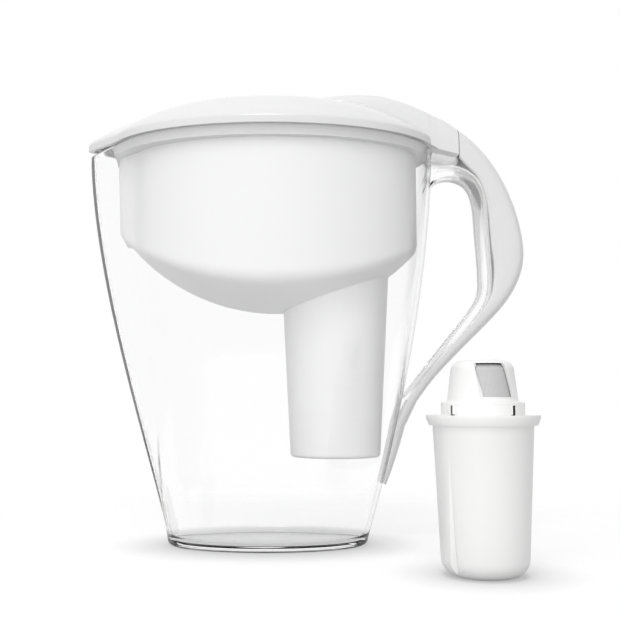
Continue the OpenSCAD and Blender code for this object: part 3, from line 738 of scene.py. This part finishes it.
hole_line, cover_back, cover_edge = from_wall(HOLE), from_wall(BACK), from_wall(EDGE)
print("handle reaches, mm:", round(float(cover_back[:, 0].max()), 1))

# %% [markdown]
# The clear bar has a section like a race track and is lofted along the inner line.

# %% Clear bar
BAR_STEPS, BAR_SIDE, BAR_GROWS = 100, 10, 1.2
bar_last = len(hole_line) - 1


def bar_depth(t):
    """The bar grows out of the wall to its full thickness, and thins towards its lower end."""
    return min(lerp(1, BAR_T, min(1, t / BAR_GROWS)), lerp(BAR_T, BAR_LOW_T, (t / bar_last) ** 3))


rings = []
for k in range(BAR_STEPS + 1):
    t = lerp(0.05, bar_last - 0.05, k / BAR_STEPS)
    r = bar_depth(t) / 2
    along = slope(hole_line, t)
    out = np.array((-along[1], along[0]))
    mid = spline(hole_line, t) + out * r
    half = lerp(BAR_W, BAR_LOW_W, k / BAR_STEPS) / 2
    loop = []
    for s in (1, -1):
        for j in range(BAR_SIDE + 1):
            u = s * (math.pi / 2 - math.pi * j / BAR_SIDE)
            flat = mid + out * r * math.sin(u)
            loop.append((flat[0], s * (half - r + r * math.cos(u)), flat[1]))
    rings.append(np.array(loop))
bar = loft("bar", rings)
print("bar", BAR_T, "mm deep at the top and", BAR_LOW_T, "at its foot")

# %% [markdown]
# A web runs up the middle between the bar and the white cover, which clips over it. It follows both
# lines, so it is drawn flat from two rows of points and pulled out to its thickness. A ledge under
# the lid's tail closes the handle's top.

# %% Web and ledge
WEB_STEPS = 80
inner = []
for k in range(WEB_STEPS + 1):
    t = lerp(0.6, bar_last - 0.3, k / WEB_STEPS)
    along = slope(hole_line, t)
    inner.append(spline(hole_line, t) + np.array((-along[1], along[0])) * bar_depth(t) * 0.6)
outer = []
for k in range(WEB_STEPS + 1):
    t = lerp(0.12, len(cover_back) - 2.05, k / WEB_STEPS)
    b, e = spline(cover_back, t), spline(cover_edge, t)
    outer.append(b + unit(e - b) * (COVER_T + FIT_GAP))
LEDGE_Z, LEDGE_T = (RIM_H - 2, RIM_H - 5.4), 2.6
cover_start_x = BACK_REACH + COVER_START
root = [(cover_start_x + 0.6, LEDGE_Z[1] - LEDGE_T / 2),
        (back_x(RIM_H) - 1.2, LEDGE_Z[0] - LEDGE_T / 2), (back_x(RIM_H - 22) - 1.2, RIM_H - 21)]
web = prism("web", [*inner, *reversed(outer), *root], -WEB_T / 2, WEB_T / 2)
x0, x1 = back_x(RIM_H) - 1.6, cover_start_x - 0.2
ledge = prism("ledge", [(x0, LEDGE_Z[0]), (x1, LEDGE_Z[1]), (x1, LEDGE_Z[1] - LEDGE_T),
                        (x0, LEDGE_Z[0] - LEDGE_T)], -BAR_W / 2, BAR_W / 2)
for part in (bar, web, ledge):
    join(jug, part)
smooth(jug)
finish_piece(jug, "jug", "clear_plastic", clear_plastic, "jug")
second_finish(jug, clear_handle, lambda at: at.x > back_x(at.z) + 0.6)
foot_top = FLOOR_T + 1.5
second_finish(jug, clear_foot, lambda at: at.z < foot_top)
second_finish(jug, clear_tip, lambda at: at.z > foot_top and at.x < spout_x(at.z) + 5)

# %% [markdown]
# ### Handle cover
# The white cover is a channel that hugs the handle's back. Its section is a soft arch with cheeks
# that reach deeper where the palm sits, and its tail narrows and lies against the jug's wall.

# %% Handle cover
CROWN_N, CROWN_ACROSS, CROWN_UP = 16, 0.75, 0.62   # powers under 1 square the arch a little
COVER_HALF_W, GRIP_HALF_W, TAIL_HALF_W = 16, 14, 5


def half_section(w, c, deep, tuck, t):
    """One side of the cover's wall, from edge to edge, "t" inside its outer face."""
    crown = []
    for j in range(-CROWN_N, CROWN_N + 1):
        u = math.pi / 2 * j / CROWN_N
        across = math.copysign(abs(math.sin(u)) ** CROWN_ACROSS, u) if j else 0
        crown.append(((w - t) * across, max(0.01, c - t) * max(0, math.cos(u)) ** CROWN_UP))
    cheek = ((1, 1), (0.55, 0.75), (0.2, 0.5), (0.04, 0.25))   # how far tucked in, and how far down
    low = [(w - tuck * into - t, -deep * down) for into, down in cheek]
    return [(-x, y) for x, y in low] + crown + low[::-1]


def cover_section(w, c, deep, tuck, t):
    return np.array(half_section(w, c, deep, tuck, 0) + half_section(w, c, deep, tuck, t)[::-1])


def placed(section, e, out, z, hugs):
    a = (back_x(z) - oval_left(z)) / 2
    drop = hugs * a * (1 - np.sqrt(1 - (section[:, 0] / half_w(z)) ** 2))
    rise = section[:, 1] - drop
    return np.column_stack([e[0] + out[0] * rise, section[:, 0], e[1] + out[1] * rise])


COVER_STEPS, TAIL_STEPS = 120, 16
PALM = 6   # the point of the back line where the palm sits
n = len(cover_back) - 1
rings = []
for k in range(COVER_STEPS + 1):
    t = n * k / COVER_STEPS
    b, e = spline(cover_back, t), spline(cover_edge, t)
    if t < PALM:
        w = lerp(COVER_HALF_W, GRIP_HALF_W, t / PALM)
    else:
        w = lerp(GRIP_HALF_W, TAIL_HALF_W + 4, (t - PALM) / (n - PALM))
    deep = float(spline(np.array(CHEEK), t))
    rings.append(placed(cover_section(w, np.linalg.norm(b - e), deep, deep * 0.22, COVER_T),
                        e, unit(b - e), e[1], 0))
tail, TAIL_WAY = np.array(TAIL), unit(np.array((1, -0.42)))   # its outward way, square to the wall
for k in range(TAIL_STEPS + 1):
    t = k / TAIL_STEPS
    down, thick = spline(tail, t * (len(tail) - 1))
    z = RIM_H - down
    w = lerp(TAIL_HALF_W + 3.4, TAIL_HALF_W, t)
    section = cover_section(w, thick, 0.2, 0, COVER_T)
    rings.append(placed(section, np.array((back_x(z) + SEAT_GAP * 2, z)), TAIL_WAY, z, 1))
cover = soften(gutter("handle_cover_white", rings), 0.5, angle=50)
smooth(cover, 50)
finish_piece(cover, "jug", "white_gloss", cover_white, "handle_cover")

# %% [markdown]
# ## Funnel
# The funnel is a deep oval bowl with a rounded belly, hung on the jug's rim by a plate. Each side
# profile is made of three parts: an arc of a large sphere, a small rounding, and an upright wall.
# The rounding is the circle that touches both, so the belly has no hard line.

# %% Funnel bowl
FUNNEL_T, FUNNEL_GAP, FUNNEL_REACH = 1.8, 1.2, 81.5
BOWL_R, BOWL_Z, BOWL_X = 108, 127.7, 5
RIM_PLATE_T, COLLAR_H = 1.8, 5
BELLY_ROUND, BALL_N, ROUND_N = 9, 26, 8
bowl_centre_z = BOWL_Z + BOWL_R


def blunt(flat, reach):
    return np.column_stack([np.maximum(flat[:, 0], -reach), flat[:, 1]])


def funnel_outline(i):
    return blunt(outline(BOWL_Z + 22, WALL + FUNNEL_GAP + i), FUNNEL_REACH - i)


def bowl_rings(i, top):
    """Rings of the bowl's skin, "i" inside its outer face, from the middle up to the height top."""
    flat = funnel_outline(i)
    centre = np.array((BOWL_X, 0))
    ball, soft = BOWL_R - i, BELLY_ROUND - i
    rays = flat - centre
    reach = np.linalg.norm(rays, axis=1)
    ways = rays / reach[:, None]
    drop = np.sqrt((ball - soft) ** 2 - (reach - soft) ** 2)
    join_angle = np.arctan2(reach - soft, drop)
    made = []
    for t in [lerp(0.02, 1, k / BALL_N) for k in range(BALL_N + 1)]:
        a = join_angle * t
        r, z = ball * np.sin(a), bowl_centre_z - ball * np.cos(a)
        made.append(np.column_stack([centre + ways * r[:, None], z]))
    for t in [(k + 1) / ROUND_N for k in range(ROUND_N)]:
        a = join_angle + (math.pi / 2 - join_angle) * t
        r = reach - soft + soft * np.sin(a)
        z = bowl_centre_z - drop - soft * np.cos(a)
        made.append(np.column_stack([centre + ways * r[:, None], z]))
    made += [at_height(flat, z) for z in (RIM_H - COLLAR_H - 22, RIM_H - COLLAR_H, top)]
    return made


plate = blunt(outline(RIM_H, 1.5), FUNNEL_REACH + 6)
collar = blunt(outline(RIM_H - COLLAR_H, WALL + FIT_GAP), FUNNEL_REACH + 3)
plate_top = RIM_H + RIM_PLATE_T
rings = bowl_rings(0, RIM_H - COLLAR_H + 0.01)
rings += [at_height(collar, RIM_H - COLLAR_H), at_height(collar, RIM_H), at_height(plate, RIM_H),
          at_height(plate, plate_top)]
funnel = loft("funnel_white", rings)
reservoir = loft("reservoir", bowl_rings(FUNNEL_T, plate_top + 5))
print("bowl from", BOWL_Z, "to", plate_top, "mm")

# %% [markdown]
# The sleeve under the bowl is turned: a slightly tapered tube with a floor. Its inside has a
# pocket and a seat for the cartridge's flange, and six holes let the water out. The bowl and the
# sleeve are joined as full solids first and hollowed after, so their walls meet without a step.

# %% Funnel sleeve
FILTER_X, SLEEVE_R, SLEEVE_Z, SLEEVE_DRAFT, SLEEVE_ROUND = 38, 24.9, 47.9, 0.0505, 2
OUTLETS, OUTLET_R, OUTLET_RING = 6, 2, 12
FLANGE_R, FLANGE_T = 26, 4.6
CUP_TOP_R = FLANGE_R * 0.885
sleeve_top = BOWL_Z + 24
seat_z = BOWL_Z - 1.4


def sleeve_radius(z):
    return SLEEVE_R + (z - SLEEVE_Z) * SLEEVE_DRAFT


def rounded_foot(r, z):
    """The rounded corner at the foot of the sleeve's outside or inside."""
    return arc_at(r - SLEEVE_ROUND, z + SLEEVE_ROUND, SLEEVE_ROUND, -90, n=ARC_N)


axis = (FILTER_X, 0, 0)
shell = turned("sleeve", [*rounded_foot(SLEEVE_R, SLEEVE_Z),
                          (sleeve_radius(sleeve_top), sleeve_top)], axis)
seat_r = CUP_TOP_R + FIT_GAP
hollow = turned("sleeve_room", [
    *rounded_foot(SLEEVE_R - FUNNEL_T, SLEEVE_Z + FUNNEL_T),
    (sleeve_radius(seat_z - 6) - FUNNEL_T, seat_z - 6), (seat_r, seat_z - 2.4), (seat_r, seat_z),
    (FLANGE_R + FIT_GAP, seat_z), (sleeve_radius(sleeve_top) - FUNNEL_T, sleeve_top + 6)], axis)
join(funnel, shell)
cut(funnel, reservoir)
cut(funnel, hollow)
for x, y in arc_at(FILTER_X, 0, OUTLET_RING, 0, 360, OUTLETS)[:-1]:
    cut(funnel, rod("outlet", (x, y, SLEEVE_Z), OUTLET_R, 8, axis="Z"))
smooth(funnel, 40)
finish_piece(funnel, "funnel", "white_satin", satin_white, "funnel")
# the collar's greyer white is painted shade from the lid above it
second_finish(funnel, collar_painted_shade, lambda at: at.z > RIM_H - COLLAR_H - 0.2)

# %% [markdown]
# ## Lid
# The lid has an upright skirt that follows the jug's outline, and a dome over it. The dome's
# height depends on how far out a place is, with 0 in the middle and 1 on the outline. A strap rises
# from the dome and runs out over the handle, and an opening for the hatch is left in the middle.

# %% Dome
SKIRT_H, DOME_H, LID_T, LID_LIP, DOME_POWER = 4.6, 21, 2.2, 1.2, 3.4
lid_z = RIM_H + SEAT_GAP
lid_seat_z = RIM_H + RIM_PLATE_T + SEAT_GAP
dome_z = lid_z + SKIRT_H
lid_c = (BACK_REACH + oval_left(RIM_H)) / 2
lid_a = (BACK_REACH - oval_left(RIM_H)) / 2


def lid_outline(i):
    return nested(-SPOUT_REACH, oval_left(RIM_H), BACK_REACH, RIM_W / 2, i - LID_LIP)


rim = lid_outline(0)
lid_tip = rim[0][0]
lid_crease = rim[SIDE_N]
lid_run = (lid_crease[0] - lid_tip) / (math.hypot(lid_crease[1], TIP_ROUND) - TIP_ROUND)


def how_far_out(p):
    x, y = p
    if lid_c - x > abs(y) * (lid_c - lid_crease[0]) / lid_crease[1]:
        return (lid_c - x + (math.hypot(y, TIP_ROUND) - TIP_ROUND) * lid_run) / (lid_c - lid_tip)
    return math.hypot((x - lid_c) / (lid_a + LID_LIP), y / (RIM_W / 2 + LID_LIP))


def dome(p):
    return dome_z + DOME_H * (1 - min(1, max(0, how_far_out(p))) ** DOME_POWER)


def on_dome(flat, drop):
    return np.array([(p[0], p[1], dome(p) - drop) for p in flat])


print("dome's top at", round(dome((lid_c, 0)), 1), "mm, skirt's top at", round(dome_z, 1))

# %% [markdown]
# The hatch fills an opening in the dome's middle. Its outline has as many points as the lid's rim,
# so that the lid can be lofted from one to the other. All of its front half is round, its sides are
# straight, and its rear edge is straight too, because a hinge runs along it.

# %% Hatch shape
HATCH_L, HATCH_W, HATCH_X, HATCH_GAP = 64, 40, -14, 0.4
HINGE_GAP, HINGE_BACK, HINGE_DROP, HATCH_CORNER = 1.9, 4, 4.4, 1.2
hatch_front, hatch_rear = HATCH_X - HATCH_L / 2, HATCH_X + HATCH_L / 2
hinge_x = hatch_rear - HINGE_BACK
hinge_z = dome((hinge_x, 0)) - HINGE_DROP
REAR_N, STRAIGHT_N, ROUND_SHARE = 14, 6, 0.6
round_n = SIDE_N + OVAL_N - REAR_N - STRAIGHT_N - 3


def hatch_shape(front, rear, b):
    m = front + (rear - front) * ROUND_SHARE
    c = HATCH_CORNER
    half = [(m - (m - front) * math.cos(a), b * math.sin(a))
            for a in (math.pi / 2 * j / round_n for j in range(round_n + 1))]
    half += [(lerp(m, rear - c, j / STRAIGHT_N), b) for j in range(1, STRAIGHT_N + 1)]
    half += arc_at(rear - c, b - c, c, 90, -90, 3)[1:-1]
    half += [(rear, (b - c) * (1 - j / REAR_N)) for j in range(REAR_N + 1)]
    return mirrored(np.array(half))


mouth = hatch_shape(hatch_front - HATCH_GAP, hatch_rear + HINGE_GAP, HATCH_W / 2 + HATCH_GAP)
print("hatch opening has", len(mouth), "points, the rim", len(rim))

# %% [markdown]
# The lid's shell is one closed loft. It starts at the opening's edge, goes under the dome to the
# ring that centres the lid in the funnel, out over the seat, round the skirt, over a small rounded
# shoulder, and back along the dome's top. The bevel softens what is still sharp.

# %% Lid shell
RING_T, SEAT_W, UNDER_N, DOME_N, DOME_START = 1.4, 1.4, 14, 40, 4
DOME_CROWD = 1.4   # above 1, the dome's rings stand closer near the rim, where it turns fast
SHOULDER = [(0, -1.4), (0.08, -0.75), (0.35, -0.1), (0.8, 0.55)]   # inwards, and over the skirt
skirt_in, step = lid_outline(LID_T), lid_outline(LID_T + SEAT_W)
ring_out = funnel_outline(FUNNEL_T + FIT_GAP)
ring_in = funnel_outline(FUNNEL_T + FIT_GAP + RING_T)
rings = [on_dome(lerp(mouth, ring_in, k / UNDER_N), LID_T) for k in range(UNDER_N + 1)]
rings += [at_height(ring_in, lid_z), at_height(ring_out, lid_z)]
rings += [on_dome(ring_out, LID_T), on_dome(step, LID_T * 1.3), at_height(step, lid_seat_z),
          at_height(skirt_in, lid_seat_z), at_height(skirt_in, lid_z), at_height(rim, lid_z)]
rings += [at_height(lid_outline(i), dome_z + rise) for i, rise in SHOULDER]
rings += [on_dome(lerp(rim, mouth, (k / DOME_N) ** DOME_CROWD), 0)
          for k in range(DOME_START, DOME_N + 1)]
lid = soften(loft("lid_white", rings, closed=True), 0.7, angle=28)
print("lid's shell has", len(lid.data.polygons), "faces")

# %% [markdown]
# The strap is a channel like the handle cover, and meets it end to end. Its top follows a spline:
# first over the dome from behind the hatch, then behind the skirt over the handle. Its sides end
# inside the dome's wall, so the join leaves no gap. The lid and its tail are one moulding here.

# %% Strap
STRAP_GAP, STRAP_SPAN, STRAP_SINK, STRAP_CHEEK = 4, 71.3, 1.7, 0.6
STRAP_RISE = [(0, 27), (12, 29.6), (24.8, 31.3), (36, 31.4), (43.6, 30.7), (53.3, 27.9),
              (61.8, 24.7)]
TAIL_RISE, TAIL_DROP, EASE_SHARE = (20, 16.7, 12.1), (0.6, 4.5), 0.3
run = BACK_REACH - hatch_rear - STRAP_GAP
strap_line = [(x * run / STRAP_SPAN - run, z) for x, z in STRAP_RISE]
strap_line += [(lerp(LID_LIP, LID_TAIL, j / 2), TAIL_RISE[j]) for j in range(3)]
strap_line = np.array(strap_line)
STRAP_STEPS = 90


def skirt_x(y):
    return lid_c + (lid_a + LID_LIP) * math.sqrt(1 - (y / (RIM_W / 2 + LID_LIP)) ** 2)


def overhang_z(over):
    """The lower edge outside the skirt: it eases down from the skirt's foot, then slopes."""
    eased = min(1, over / EASE_SHARE)
    return lid_z + lerp(STRAP_CHEEK, -lerp(*TAIL_DROP, over), eased * eased * (3 - 2 * eased))


rings = []
for k in range(STRAP_STEPS + 1):
    back, high = spline(strap_line, (len(strap_line) - 1) * k / STRAP_STEPS)
    x, top = BACK_REACH + back, lid_z + high
    w = lerp(COVER_HALF_W + 1.5, COVER_HALF_W, k / STRAP_STEPS)
    over = (x - skirt_x(w)) / (BACK_REACH + LID_TAIL - skirt_x(w))
    low = max(dome((x, w)) - STRAP_SINK, lid_z + STRAP_CHEEK) if over < 0 else overhang_z(over)
    section = cover_section(w, max(1, top - low), STRAP_CHEEK, 0, COVER_T)
    rings.append(np.column_stack([np.full(len(section), x), section[:, 0], low + section[:, 1]]))
join(lid, gutter("strap", rings))
print("strap's top at", round(lid_z + strap_line[:, 1].max(), 1), "mm")

# %% [markdown]
# A thin plate closes the strap's underside behind the skirt. One end follows the skirt's curve and
# the other is straight, so it is lofted across in narrow strips.

# %% Strap's underside
PLATE_T, PLATE_N = 1.2, 16
plate_w, last_x = COVER_HALF_W - 0.6, BACK_REACH + LID_TAIL - 0.1
z_near, z_far = lid_z - 0.2, overhang_z(1) - STRAP_CHEEK + 0.1
rings = []
for k in range(PLATE_N + 1):
    y = lerp(-plate_w, plate_w, k / PLATE_N)
    near = skirt_x(y) - 0.3
    rings.append(np.array([(near, y, z_near), (last_x, y, z_far), (last_x, y, z_far + PLATE_T),
                           (near, y, z_near + PLATE_T)]))
join(lid, loft("strap_floor", rings))
print("lid with its strap has", len(lid.data.polygons), "faces")

# %% [markdown]
# Two ears under the dome carry the hatch's pin. The boolean joins leave slivers beside the strap,
# and their own normals would show there as a dotted line. A weighted normal modifier gives the
# large faces the say over the shading, so the join stays clean.

# %% Ears, bore and finish of the lid
EAR_IN, EAR_OUT, EAR_R = HATCH_W / 2 + 1, HATCH_W / 2 + 4, 3.4
PIN_D, PIN_GAP = 3, 0.06
ear_top = dome((hinge_x, EAR_OUT)) - LID_T / 2
ear_flat = [(hinge_x + EAR_R, ear_top), (hinge_x - EAR_R, ear_top)]
ear_flat += arc_at(hinge_x, hinge_z, EAR_R, 180, 180, 24)
for side in (-1, 1):
    y = sorted((side * EAR_IN, side * EAR_OUT))
    join(lid, prism("ear", ear_flat, *y))
cut(lid, rod("bore", (hinge_x, 0, hinge_z), PIN_D / 2 + PIN_GAP, 2 * EAR_OUT + 1))
smooth(lid, 32)
even = lid.modifiers.new("even_shading", "WEIGHTED_NORMAL")
even.keep_sharp = True
settle(lid)
finish_piece(lid, "lid", "white_gloss", lid_white, "lid", "lid_tail")

# %% [markdown]
# ## Hatch
# The hatch is a shell of the same dome, so it closes flush. A small bar near its front gives the
# fingertip a hold, and two arms under its rear carry the rod that turns in the lid's ears.

# %% Hatch
flat = hatch_shape(hatch_front, hatch_rear, HATCH_W / 2)
centre = np.array((HATCH_X, 0))
steps = [0.97, 0.85, 0.7, 0.55, 0.4, 0.25, 0.1, 0]
rings = [on_dome(lerp(flat, centre, t), LID_T) for t in steps]
rings += [on_dome(lerp(flat, centre, t), 0) for t in reversed(steps)]
hatch = soften(loft("hatch_white", rings), 0.4, angle=50, segments=2)
ARM_T, ARM_Y, ARM_R, ARM_START = 2.4, HATCH_W / 2 - 3, 2.5, 33.75
arm_top = dome((hinge_x, ARM_Y)) - LID_T / 2
arm_flat = [(hinge_x - 9, arm_top), (hinge_x - PIN_D / 2 - 0.8, hinge_z - 0.8)]
arm_flat += arc_at(hinge_x, hinge_z, ARM_R, 180 + ARM_START, 180 - ARM_START, 13)
arm_flat += [(hinge_x + PIN_D / 2 + 0.8, arm_top)]
for side in (-1, 1):
    join(hatch, prism("arm", arm_flat, side * ARM_Y - ARM_T / 2, side * ARM_Y + ARM_T / 2))
join(hatch, rod("pin", (hinge_x, 0, hinge_z), PIN_D / 2, 2 * (EAR_OUT - FIT_GAP / 2)))
grip_x = hatch_front + 5
join(hatch, soften(rod("grip", (grip_x, 0, dome((grip_x, 0)) - 0.5), 1.5, HATCH_W * 0.4), 0.6))
smooth(hatch, 35)
finish_piece(hatch, "hatch", "white_gloss", lid_white, "hatch")

# %% [markdown]
# ## Cartridges
# A cartridge is a turned cup with a flange, and a cap with two slanted windows over a fine mesh.
# Each is one profile spun about its axis, and its widths are shares of the flange's radius.

# %% Cartridge sizes
CUP_H, CAP_H, CUP_T, CAP_T = 67.5, 25, 1.4, 1.3
FOOT_ROUND, CAP_ROUND, CAP_RING_H, CUP_FLOOR = 8, 5, 6, 3.4
CUP_FOOT_R, FLANGE_LOW_R = FLANGE_R * 0.77, FLANGE_R * 0.95
RING_R, DOME_R, DOME_TOP_R = FLANGE_R * 0.734, FLANGE_R * 0.622, FLANGE_R * 0.56
DECK_R, RING_ROUND = RING_R - CAP_T - 1, 0.8
GROOVE_TURN, GROOVE_DEEP, GROOVE_START = 217, 2.6, 13
FOOT_SLOTS, NOTCH_TURN, NOTCH_H = 8, 35, 4.4
MESH_GAP, MESH_T = 0.6, 0.4
SPARE_X, SPARE_Y = 103.5, -92
SLOT_REACH, SLOT_HALF_W = (7, 13), 0.9
WINDOW_TURN, WINDOW_LOW = -69, 2.2
WINDOW_FOOT, WINDOW_HEAD = (-7.4, 7.2), (3, -8.5)   # a window's sides, below and above
FRAME_FOOT, FRAME_HEAD = (-9.2, 7.2), (-10.3, 3)
FRAME_LOW_R, FRAME_HIGH_R = 12.8, 8.6   # how close to the axis the frame's flat cut comes
WINDOW_H = CAP_H - CAP_RING_H - WINDOW_LOW - CAP_ROUND * 0.3
step_z, top_z = FLANGE_T + CAP_RING_H, FLANGE_T + CAP_H
window_low, window_high = step_z + WINDOW_LOW, step_z + WINDOW_LOW + WINDOW_H
print("cartridge", CUP_H + top_z, "mm high, windows", round(WINDOW_H, 1))

# %% [markdown]
# The grooves, windows, notches and slots are convex blocks that a boolean takes away. A bevel then
# rounds every edge, the cut ones included, as a mould would.


# %% Cartridge cuts
def placed_block(name, corners, turn, centre):
    """Eight or six corners as a convex block, turned about the upright axis and moved."""
    a = math.radians(turn)
    bm = bmesh.new()
    for x, y, z in corners:
        bm.verts.new(Vector((centre[0] + x * math.cos(a) - y * math.sin(a),
                             centre[1] + x * math.sin(a) + y * math.cos(a), centre[2] + z)) * MM)
    bmesh.ops.convex_hull(bm, input=bm.verts)
    mesh = bpy.data.meshes.new(name)
    bm.to_mesh(mesh)
    bm.free()
    obj = bpy.data.objects.new(name, mesh)
    bpy.context.scene.collection.objects.link(obj)
    return obj


def box(x, y, z):
    """The corners of an upright box from its limits."""
    return [(a, b, c) for a in x for b in y for c in z]


def groove(turn, centre):
    """A three-sided cut that starts as a point under the flange and widens towards the foot."""
    start_r = lerp(CUP_TOP_R, CUP_FOOT_R, GROOVE_START / CUP_H)
    lean = math.atan((start_r - CUP_FOOT_R + GROOVE_DEEP) / (CUP_H - GROOVE_START))
    corners = []
    for h in (0, CUP_H):
        for x, y in ((0, 0), (-8, -9.8), (-8, 9.8)):
            corners.append((start_r - x * math.cos(lean) - h * math.sin(lean), y,
                            x * math.sin(lean) - h * math.cos(lean) - GROOVE_START))
    return placed_block("groove", corners, turn, centre)


def window(turn, centre):
    """The window's sides lean, and its top and bottom stay level."""
    corners = [(x, y, z) for x in (2, DOME_R + 2)
               for sides, z in ((WINDOW_FOOT, window_low), (WINDOW_HEAD, window_high))
               for y in sides]
    return placed_block("window", corners, turn, centre)


def window_frame(turn, centre):
    """A shallow flat cut beside the window, so that side of the wall shows a frame."""
    corners = box((FRAME_LOW_R, DOME_R + 2), FRAME_FOOT, (window_low,))
    corners += box((FRAME_HIGH_R, DOME_R + 2), FRAME_HEAD, (window_high,))
    return placed_block("window_frame", corners, turn, centre)


# %% [markdown]
# The cup is a tapered bucket with a thick floor and a wide flange. Two grooves run down its sides,
# and slots in its floor let the filtered water out.


# %% Cup
def make_cup(which, centre):
    cup = turned(f"{which}_cup_white", [
        *arc_at(CUP_FOOT_R - FOOT_ROUND, -CUP_H + FOOT_ROUND, FOOT_ROUND, -90), (CUP_TOP_R, 0),
        (FLANGE_LOW_R, 0), (FLANGE_R, FLANGE_T - 1.4), (FLANGE_R, FLANGE_T), (DECK_R, FLANGE_T),
        (DECK_R, FLANGE_T - CUP_T), (CUP_TOP_R - CUP_T, 0),
        (CUP_FOOT_R - CUP_FLOOR, -CUP_H + CUP_FLOOR)], centre, 160)
    for turn in (0, 180):
        cut(cup, groove(GROOVE_TURN + turn, centre))
    slot = box(SLOT_REACH, (-SLOT_HALF_W, SLOT_HALF_W), (-CUP_H - 1, -CUP_H + CUP_FLOOR + 1))
    for k in range(FOOT_SLOTS):
        cut(cup, placed_block("slot", slot, (k + 0.5) * 360 / FOOT_SLOTS, centre))
    cup = smooth(soften(cup, 0.35, angle=24, segments=3), 30)
    finish_piece(cup, which, "cartridge_white", filter_white, f"{which}_cup")


# %% [markdown]
# The cap is a ring with a small hollow dome on it. Two windows lean across the dome, each with a
# flat cut beside it, and four notches break the ring's edge.

# %% Cap
bend = (DOME_TOP_R - CAP_ROUND, top_z - CAP_ROUND)


def make_cap(which, centre):
    cap = turned(f"{which}_cap_white", [
        (1, top_z - CAP_T), *arc_at(*bend, CAP_ROUND - CAP_T, 90, -90),
        (DOME_R - CAP_T, step_z - CAP_T), (RING_R - CAP_T, step_z - CAP_T),
        (RING_R - CAP_T, FLANGE_T), (RING_R, FLANGE_T),
        *arc_at(RING_R - RING_ROUND, step_z - RING_ROUND, RING_ROUND, 0, n=4),
        (DOME_R + 0.4, step_z + 0.4), (DOME_R, step_z + 1), *arc_at(*bend, CAP_ROUND, 0),
        (1, top_z)], centre, 160)
    for turn in (0, 180):
        cut(cap, window(WINDOW_TURN + turn, centre))
        cut(cap, window_frame(WINDOW_TURN + turn, centre))
    for k in range(4):   # a narrow notch through the ring, and a wider relief behind it
        for name, reach, w in (("notch", RING_R + 3, 1.3), ("relief", RING_R - 0.5, 3.2)):
            room = box((RING_R - CAP_T - 2, reach), (-w, w), (FLANGE_T - 1, FLANGE_T + NOTCH_H))
            cut(cap, placed_block(name, room, k * 90 + NOTCH_TURN, centre))
    cap = smooth(soften(cap, 0.22, angle=40, segments=2), 30)
    finish_piece(cap, which, "cartridge_white", filter_white, f"{which}_cap")


# %% [markdown]
# The mesh behind the windows is a thin tube that follows the cap's inside with a small gap. Both
# cartridges come from the same three calls: one in the funnel's sleeve, and the spare beside the
# pitcher.


# %% Mesh, and both cartridges
def make_mesh(which, centre):
    outer, inner = CAP_T + MESH_GAP, CAP_T + MESH_GAP + MESH_T
    tube = [(DOME_R - outer, step_z), *arc_at(*bend, CAP_ROUND - outer, 0),
            *arc_at(*bend, CAP_ROUND - inner, 90, -90), (DOME_R - inner, step_z)]
    mesh = smooth(turned(f"{which}_mesh", tube, centre, 160, closed=True), 40)
    finish_piece(mesh, which, "screen_grey", fine_mesh(centre), f"{which}_screen")


for which, centre in (("cartridge", (FILTER_X, 0, seat_z + SEAT_GAP)),
                      ("spare", (SPARE_X, SPARE_Y, CUP_H))):
    for make in (make_cup, make_cap, make_mesh):
        make(which, centre)

# %% [markdown]
# The bead filling is closed in by the cup, and the small screens lie deep in its foot. Their CAD
# nodes are good enough, so they stay and only get a finish.

# %% Filling and foot screens
for name, material in (("granules", beads), ("spare_granules", beads),
                       ("cartridge_outlet_screen", screen_grey),
                       ("spare_outlet_screen", screen_grey)):
    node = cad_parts[name]
    node.data.materials.clear()
    node.data.materials.append(material)
    print(name, "keeps its node and gets", material.name)
